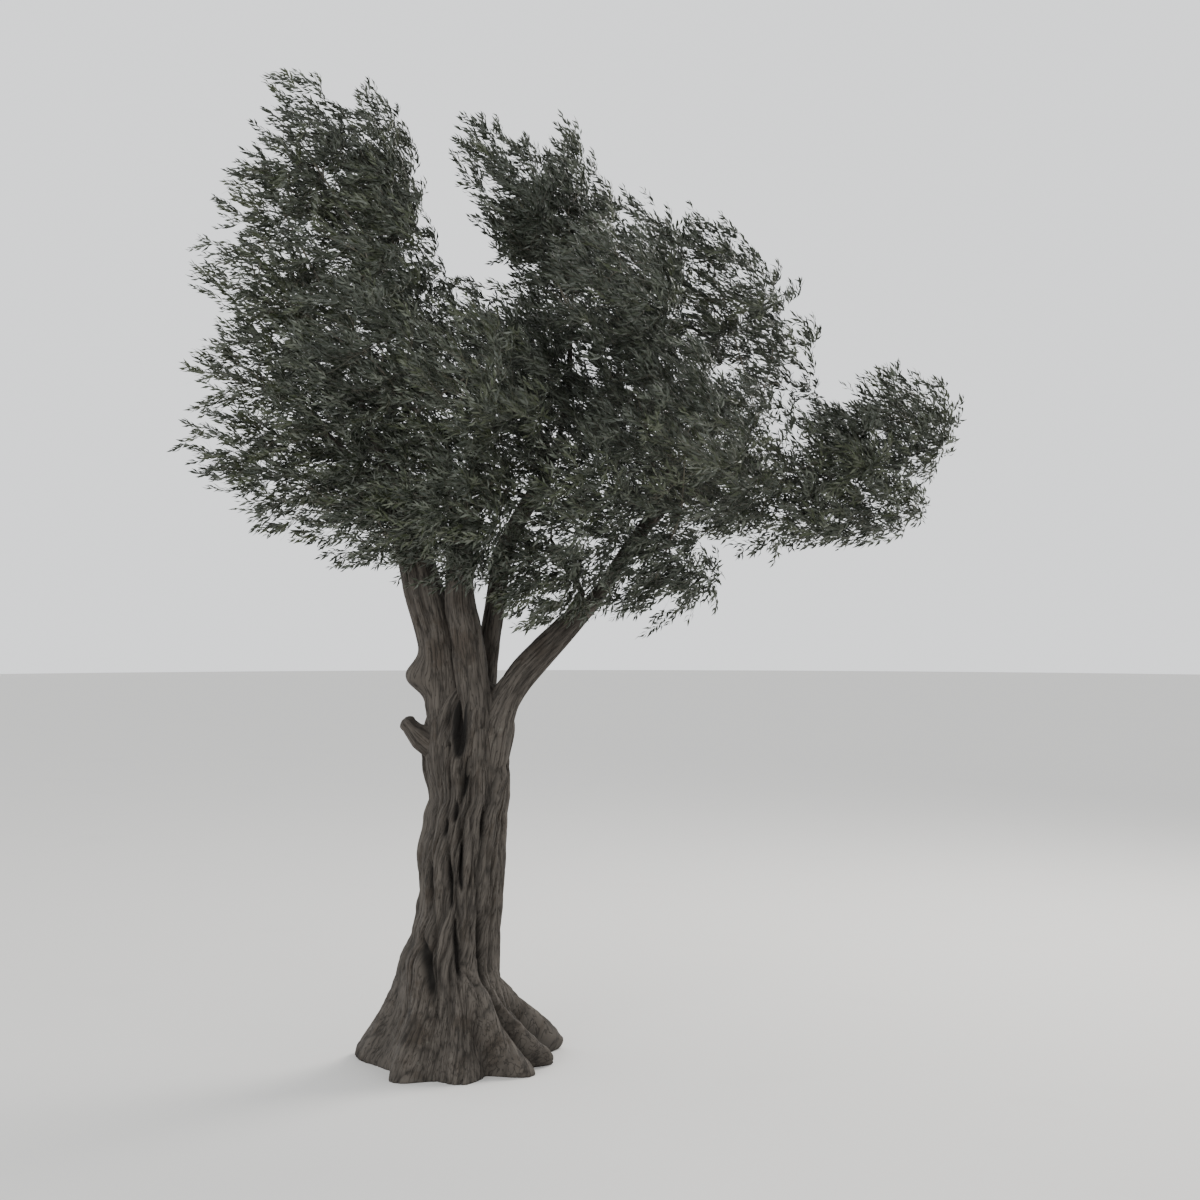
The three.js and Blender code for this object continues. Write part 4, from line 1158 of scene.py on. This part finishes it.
# shoots stand in tufts, and fewer towards the rim, so that the sky shows between them
thinShape = {
    "tufts": (5.2, 41),
    "tuftLevels": (-0.55, 0.05),
    "betweenTufts": 0.72,
    "rimFrom": 0.55,
    "atRim": 0.62,
    "openingEdge": (1.5, 0.6),
    # masses that stand fuller than the rest
    "fuller": {
        "mass_fork": 1.75,
        "mass_right_droop": 1.4,
        "mass_front_low": 1.4,
        "mass_low_inner": 1.3,
        "mass_right_tip": 1.15,
        "mass_right_arm": 1.4,
        "mass_right_low": 1.4,
        "plume_top_inner": 1.3,
        "plume_middle": 1.25,
        "plume_middle_right": 1.15,
        "plume_left_upper": 1.15,
    },
    # places where sky shows: x, z, half width, half height, how much thinner
    "openings": [
        (-1.66, 4.50, 0.22, 0.12, 0.84),
        (-1.66, 4.16, 0.20, 0.15, 0.90),
        (-1.62, 3.86, 0.20, 0.10, 0.86),
        (-1.56, 4.70, 0.18, 0.12, 0.84),
        (-1.44, 5.19, 0.18, 0.09, 0.80),
        (-1.27, 5.90, 0.16, 0.26, 0.90),
        (-0.24, 5.62, 0.08, 0.22, 0.85),
        (0.12, 5.42, 0.10, 0.20, 0.85),
        (-0.72, 6.08, 0.14, 0.08, 0.85),
        (-1.40, 3.38, 0.15, 0.14, 0.88),
        (-1.32, 3.54, 0.15, 0.10, 0.70),
        (1.92, 4.10, 0.15, 0.18, 0.74),
        (2.12, 4.30, 0.15, 0.14, 0.80),
        (2.02, 3.90, 0.12, 0.12, 0.82),
        (2.04, 4.79, 0.12, 0.14, 0.82),
        (2.36, 4.20, 0.14, 0.10, 0.80),
        (3.00, 4.32, 0.18, 0.16, 0.92),
        (3.02, 3.50, 0.18, 0.16, 0.85),
        (0.98, 3.98, 0.16, 0.12, 0.60),
        (0.66, 5.94, 0.14, 0.10, 0.88),
        (1.20, 2.68, 0.24, 0.10, 0.92),
        (1.26, 2.84, 0.14, 0.08, 0.85),
        (1.64, 3.02, 0.11, 0.22, 0.88),
        (0.62, 3.06, 0.10, 0.08, 0.80),
        (0.00, 4.98, 0.18, 0.15, 0.75),
        (0.02, 4.06, 0.10, 0.06, 0.50),
    ],
}


# Points spread through a space, no two nearer than the spacing
def scatter(random, space, zone, spacing, wanted, spare):
    tries = random.uniform(-1, 1, (woodShape["scatterTries"], 3)) * space.reach.max() + space.middle
    tries = tries[space.holds(tries, zone, spare)]
    kept = np.empty((wanted, 3))
    count = 0
    for point in tries:
        if count == wanted:
            break
        if count == 0 or np.min(np.sum((kept[:count] - point) ** 2, axis=1)) >= spacing ** 2:
            kept[count] = point
            count += 1
    return kept[:count]


# Places along the grown wood where more can leave it: place, direction and girth
class Wood:
    def __init__(self):
        self.places, self.ways, self.girths = np.zeros((0, 3)), np.zeros((0, 3)), np.zeros(0)

    def add(self, path, girths, start):
        self.places = np.concatenate([self.places, path[start:]])
        self.ways = np.concatenate([self.ways, unit(np.gradient(path[start:], axis=0))])
        self.girths = np.concatenate([self.girths, girths[start:]])

    def best(self, target, usual, stream):
        gaps = target - self.places
        lengths = np.linalg.norm(gaps, axis=1)
        cost = np.abs(lengths - usual) + woodShape["windPull"] * (lengths - gaps @ stream)
        index = int(np.argmin(cost))
        return index, lengths[index]

    # a branch that leaves its wood along it, then bends to the wind at its tip
    def branch(self, index, target, stream, level):
        root = self.places[index]
        length = np.linalg.norm(target - root)
        heading = (target - root) / max(length, 1e-6)
        leave = unit(woodShape["leaveAlong"] * self.ways[index] + heading)
        arrive = unit(heading + level["bend"] * stream)
        p1 = root + leave * length * woodShape["handles"]
        p2 = target - arrive * length * woodShape["handles"]
        t = np.linspace(0, 1, level["points"])[:, None]
        path = (1 - t) ** 3 * root + 3 * t * (1 - t) ** 2 * p1 + 3 * t * t * (1 - t) * p2 + t ** 3 * target
        return path, min(self.girths[index] * woodShape["girthShare"], level["girth"])


# Twigs, then twiglets, each from the nearest wood that the wind suits
def growTwigs(random, space, wood, grown):
    stream = windAt(space.middle[None])[0]
    for kind in ("twig", "twiglet"):
        level = woodShape[kind]
        ends = scatter(random, space, level["zone"], level["spacing"], level["most"], woodShape["wallSpare"])
        for end in ends[np.argsort(np.linalg.norm(ends - space.middle, axis=1))]:
            index, length = wood.best(end, level["usual"], stream)
            if length < woodShape["shortest"] or not clearOfLimbs(end[None], woodShape["limbSpare"])[0]:
                continue
            path, start = wood.branch(index, end, stream, level)
            girths = np.linspace(start, start * (1 - level["taper"]), level["points"])
            grown[kind].append((path, girths))
            wood.add(path, girths, 2)


# The share of shoots left out at each tip
def thinnedAt(tips, space, fuller):
    shape = thinShape
    fine, seed = shape["tufts"]
    tufted = smooth(noise(tips * fine, seed), *shape["tuftLevels"])
    outer = smooth(space.depth(tips), shape["rimFrom"], 1.0)
    between = shape["betweenTufts"]
    thin = np.maximum(shape["atRim"] * outer, (1 - tufted) * (between + (1 - between) * outer))
    thin = np.clip(thin / fuller, 0, 1)
    for x, z, wide, high, most in shape["openings"]:
        away = ((tips[:, 0] - x) / wide) ** 2 + ((tips[:, 2] - z) / high) ** 2
        thin = np.maximum(thin, most * smooth(away, *shape["openingEdge"]))
    return thin


def growShoots(random, space, wood, grown, order):
    level = woodShape["shoot"]
    fuller = thinShape["fuller"].get(space.name, 1)
    wanted = int(level["perCubicMetre"] * fuller * 4 / 3 * math.pi * np.prod(space.reach))
    tips = scatter(random, space, level["zone"], level["spacing"], wanted, -spaceShape["shared"])
    kept = random.uniform(0, 1, len(tips)) >= thinnedAt(tips, space, fuller)
    least, longest = woodShape["shootLength"]
    for tip, stream in zip(tips[kept], windAt(tips)[kept]):
        index, length = wood.best(tip, level["usual"] * random.uniform(*woodShape["shootDrift"]), stream)
        if least <= length <= longest:
            path, start = wood.branch(index, tip, stream, level)
            grown["shoot"].append((path, np.linspace(start, level["tipGirth"], level["points"])))
            grown["shootMass"].append(order)


# Grows one mass: stem, twigs, twiglets and shoots
def growMass(order, space, grown):
    random = np.random.default_rng(growth["seed"] + growth["seedStep"] * order)
    stem = woodShape["stem"]
    girth = laid[space.name]["radii"][0]
    path = laid[space.name]["curve"].sampled(stem["points"])
    girths = np.linspace(girth, girth * (1 - stem["taper"]), stem["points"])
    grown["stem"].append((path, girths))
    wood = Wood()
    wood.add(path, girths, stem["bare"])
    growTwigs(random, space, wood, grown)
    growShoots(random, space, wood, grown, order)


grown = {"stem": [], "twig": [], "twiglet": [], "shoot": [], "shootMass": []}
for order, space in enumerate(spaces.values()):
    growMass(order, space, grown)
print("grown: twigs", len(grown["twig"]), "twiglets", len(grown["twiglet"]), "shoots", len(grown["shoot"]))

massNames = list(masses)


def finishFoliage(piece):
    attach(piece, "root")
    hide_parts(*massNames)


# Many tapering tubes at once: every path has the same number of points
def manyTubes(paths, girths, sides):
    count, steps = girths.shape
    along = unit(np.gradient(paths, axis=1))
    overall = unit(paths[:, -1] - paths[:, 0])
    hint = np.where(np.abs(overall[:, 1:2]) < 0.8, [[0.0, 1.0, 0.0]], [[1.0, 0.0, 0.0]])[:, None, :]
    first = unit(np.cross(along, np.broadcast_to(hint, along.shape)))
    second = np.cross(along, first)
    angle = np.arange(sides) / sides * 2 * math.pi
    ring = first[:, :, None] * np.cos(angle)[:, None] + second[:, :, None] * np.sin(angle)[:, None]
    points = paths[:, :, None] + ring * girths[:, :, None, None]
    tips = (paths[:, -1] + along[:, -1] * girths[:, -1:] * woodShape["tipLength"])[:, None, None]
    points = np.concatenate([points.reshape(count, -1, 3), tips.reshape(count, 1, 3)], axis=1)
    body = []
    for step in range(steps - 1):
        for side in range(sides):
            a, b = step * sides + side, step * sides + (side + 1) % sides
            body += [(a, b, b + sides), (a, b + sides, a + sides)]
    last = (steps - 1) * sides
    body += [(last + side, last + (side + 1) % sides, steps * sides) for side in range(sides)]
    body += [(0, side + 1, side) for side in range(1, sides - 1)]
    starts = np.arange(count) * (steps * sides + 1)
    return points.reshape(-1, 3), (np.array(body)[None] + starts[:, None, None]).reshape(-1, 3)


def makeWood(name, kind, first=0, last=None):
    paths, girths = (np.array(values) for values in zip(*grown[kind][first:last]))
    points, faces = manyTubes(paths, girths, woodShape[kind]["sides"])
    finishFoliage(makePiece(name, points, faces, twigBark))
    print("wood made:", name, len(faces), "faces")


makeWood("massStems", "stem")
makeWood("twigs", "twig")
makeWood("twiglets", "twiglet")
halfOfShoots = len(grown["shoot"]) // 2
makeWood("shootsFirst", "shoot", last=halfOfShoots)
makeWood("shootsSecond", "shoot", first=halfOfShoots)


# Leaves in opposite pairs along every shoot, each pair turned a quarter from the last, bent to the wind

leafShape = {
    "seed": 77,
    "pairs": 6,
    "firstAt": 0.16,
    "pairDrift": (0.1, 0.7),
    "length": (0.046, 0.070),
    "shorterAtTip": 0.22,
    "tipFrom": 0.75,
    "widthShare": 0.25,
    "widestAt": 0.46,
    "cup": 0.35,  # how far the blade's edges rise, as a share of its half width
    "arch": (0.05, 0.05),
    "tipDrop": 0.6,
    "splay": (42, 10),
    "tipSplay": 5,
    "hint": (0.31, 0.85, 0.42),  # the first pair of a shoot is turned from here by any angle
    "firstTurn": (0, 6.28),
    "turnDrift": 0.25,
    "facing": (0.4, 0.5),  # towards the shoot's tip, and up
    "roll": 0.75,
    "drift": 0.14,
    # how far the leaves bend to the wind: low and sheltered, high and open
    "windBend": (0.34, 0.74),
    "openAbove": (3.5, 4.4),
    "openLeftOf": (-0.3, -1.2),
    "rim": 1.06,
    "wallSpare": 0.03,
    "limbSpare": 0.012,
    "patches": (1.9, 5, 0.42),  # patches of one colour: how fine, seed, how strong
}


# Where each leaf leaves its shoot, which way it points and which way it faces
def placeLeaves(random, paths):
    shape = leafShape
    count, pairs = len(paths), shape["pairs"]
    each = pairs * 2 + 1
    shoot = np.repeat(np.arange(count), each)
    slot = np.tile(np.arange(each), count)
    last = slot == pairs * 2
    pair = slot // 2
    total = len(shoot)
    spread = (pair + random.uniform(*shape["pairDrift"], total)) / pairs
    share = np.where(last, 1.0, shape["firstAt"] + (1 - shape["firstAt"]) * spread)
    place = share * (paths.shape[1] - 1)
    step = np.minimum(place.astype(int), paths.shape[1] - 2)
    part = (place - step)[:, None]
    base = paths[shoot, step] * (1 - part) + paths[shoot, step + 1] * part
    along = unit(paths[shoot, step + 1] - paths[shoot, step])
    hint = unit(np.cross(along, np.array(shape["hint"])))
    other = np.cross(along, hint)
    firstTurn = np.repeat(random.uniform(*shape["firstTurn"], count), each)
    turn = pair * (math.pi / 2) + (slot % 2) * math.pi + firstTurn
    turn = turn + random.normal(0, shape["turnDrift"], total)
    side = hint * np.cos(turn)[:, None] + other * np.sin(turn)[:, None]
    usual, drift = shape["splay"]
    splay = np.radians(np.where(last, shape["tipSplay"], usual) + random.normal(0, drift, total))
    heading = along * np.cos(splay)[:, None] + side * np.sin(splay)[:, None]
    sheltered, inTheOpen = shape["windBend"]
    high, left = smooth(base[:, 2], *shape["openAbove"]), smooth(base[:, 0], *shape["openLeftOf"])
    bend = sheltered + (inTheOpen - sheltered) * np.maximum(high, left)[:, None]
    heading = unit(heading + bend * windAt(base) + random.normal(0, shape["drift"], (total, 3)))
    shorter = 1 - shape["shorterAtTip"] * smooth(share, shape["tipFrom"], 1.0)
    length = random.uniform(*shape["length"], total) * shorter
    forward, upward = shape["facing"]
    facing = unit(np.cross(heading, np.cross(side + along * forward + up * upward, heading)))
    roll = random.normal(0, shape["roll"], total)
    across = unit(np.cross(heading, facing))
    normal = facing * np.cos(roll)[:, None] + across * np.sin(roll)[:, None]
    return shoot, base, heading, normal, length


def leafMesh(base, heading, normal, length, arch):
    across = np.cross(heading, normal)
    width = (length * leafShape["widthShare"] / 2)[:, None]
    reach = length[:, None]
    rise = normal * (arch * length)[:, None]
    middle = base + heading * reach * leafShape["widestAt"]
    cup = rise + normal * width * leafShape["cup"]
    left, right = middle + across * width + cup, middle - across * width + cup
    tip = base + heading * reach - rise * leafShape["tipDrop"]
    points = np.stack([base, left, right, tip, middle + rise], axis=1)
    body = np.array([(0, 1, 4), (0, 4, 2), (4, 1, 3), (2, 4, 3)])
    faces = (body[None] + (np.arange(len(base)) * 5)[:, None, None]).reshape(-1, 3)
    return points.reshape(-1, 3), faces


# Colours are dealt out spray by spray, in loose patches through the crown
def dealKinds(random, tips):
    fine, seed, strength = leafShape["patches"]
    deal = 0.5 + strength * noise(tips * fine, seed) + random.uniform(-0.5, 0.5, len(tips))
    ranked = np.argsort(np.argsort(deal)) / len(deal)
    edges = np.cumsum([kind["share"] for kind in leafKinds.values()])
    return np.minimum(np.searchsorted(edges, ranked), len(leafKinds) - 1)


def makeLeaves():
    random = np.random.default_rng(leafShape["seed"])
    paths = np.array([path for path, _ in grown["shoot"]])
    shoot, *leaves = placeLeaves(random, paths)
    base, heading, _, length = leaves
    mass = np.array(grown["shootMass"])[shoot]
    spare = -leafShape["wallSpare"] - spaceShape["shared"]
    fits = clearOfLimbs(base + heading * length[:, None] * 0.5, leafShape["limbSpare"])
    for order, space in enumerate(spaces.values()):
        mine = mass == order
        tips = base[mine] + heading[mine] * length[mine, None]
        fits[mine] &= space.holds(tips, leafShape["rim"], spare)
    leaves.append(random.normal(*leafShape["arch"], len(base)))
    kindOf = dealKinds(random, paths[:, -1])
    windward = paths[:, -1, 0] > np.median(paths[:, -1, 0])
    for order, kind in enumerate(leafKinds):
        for side, near in (("Lee", ~windward), ("Windward", windward)):
            chosen = fits & (kindOf[shoot] == order) & near[shoot]
            points, faces = leafMesh(*(values[chosen] for values in leaves))
            finishFoliage(makePiece(kind + side, points, faces, leafMaterials[kind], smoothShaded=False))
            print("leaves made:", kind + side, int(chosen.sum()), "in", len(faces), "faces")


makeLeaves()


# Floor, light and camera

studio = {
    "floorRadius": 70,
    "floorSides": 96,
    "floor": (0.62, 0.61, 0.59),
    "floorPatches": (0.8, 0.5),
    "floorShade": 0.985,
    "floorRoughness": 0.95,
    "floorSpecular": 0.1,
    "sky": (0.86, 0.875, 0.89),
    "skyStrength": 1.6,
    # each light: place, where it points, size, power, tint
    "lights": {
        "keyFromTheRight": ((8.0, 5.0, 9.5), (0.3, 0, 3.2), 5.0, 1500, (1.0, 0.97, 0.93)),
        "softFront": ((-4.5, -10.0, 5.5), (0.3, 0, 2.6), 7.0, 520, (0.96, 0.98, 1.0)),
    },
    "camera": (0.90, -10.64, 2.83),
    "tilt": 0.33,
    "lens": 80,
    "film": 56,
    "seesTo": 300,
}


def makeFloor():
    material, tree, shader = newMaterial("paleFloor")
    place = addNode(tree, "TexCoord", {}).outputs["Object"]
    patches = addPatches(tree, place, *studio["floorPatches"])
    shade = tuple(c * studio["floorShade"] for c in studio["floor"])
    colour = mixColour(tree, patches, studio["floor"], shade)
    finishShader(tree, shader, colour, studio["floorRoughness"], studio["floorSpecular"])
    sides = studio["floorSides"]
    side = np.arange(sides)
    angle = side / sides * 2 * math.pi
    rim = np.stack([np.cos(angle), np.sin(angle), np.zeros(sides)], 1) * studio["floorRadius"]
    faces = np.stack([side, (side + 1) % sides, np.full(sides, sides)], 1)
    floor = makePiece("floor", np.concatenate([rim, [[0, 0, 0]]]), faces, material)


def makeSky():
    world = bpy.data.worlds.new("paleStudio")
    bpy.context.scene.world = world
    world.use_nodes = True
    background = world.node_tree.nodes["Background"]
    background.inputs["Color"].default_value = (*studio["sky"], 1)
    background.inputs["Strength"].default_value = studio["skyStrength"]


def makeLight(name, place, target, size, power, tint):
    light = bpy.data.lights.new(name, "AREA")
    light.shape = "DISK"
    light.size = size
    light.energy = power
    light.color = tint
    lamp = bpy.data.objects.new(name, light)
    lamp.location = place
    lamp.rotation_euler = (Vector(target) - Vector(place)).to_track_quat("-Z", "Y").to_euler()
    bpy.context.scene.collection.objects.link(lamp)


def makeCamera():
    cameraData = bpy.data.cameras.new("viewpoint")
    cameraData.lens = studio["lens"]
    cameraData.sensor_width = studio["film"]
    cameraData.clip_end = studio["seesTo"]
    camera = bpy.data.objects.new("viewpoint", cameraData)
    camera.location = studio["camera"]
    camera.rotation_euler = (math.radians(90 + studio["tilt"]), 0, 0)
    bpy.context.scene.collection.objects.link(camera)
    bpy.context.scene.camera = camera


makeFloor()
makeSky()
for name, light in studio["lights"].items():
    makeLight(name, *light)
makeCamera()
print("studio made")
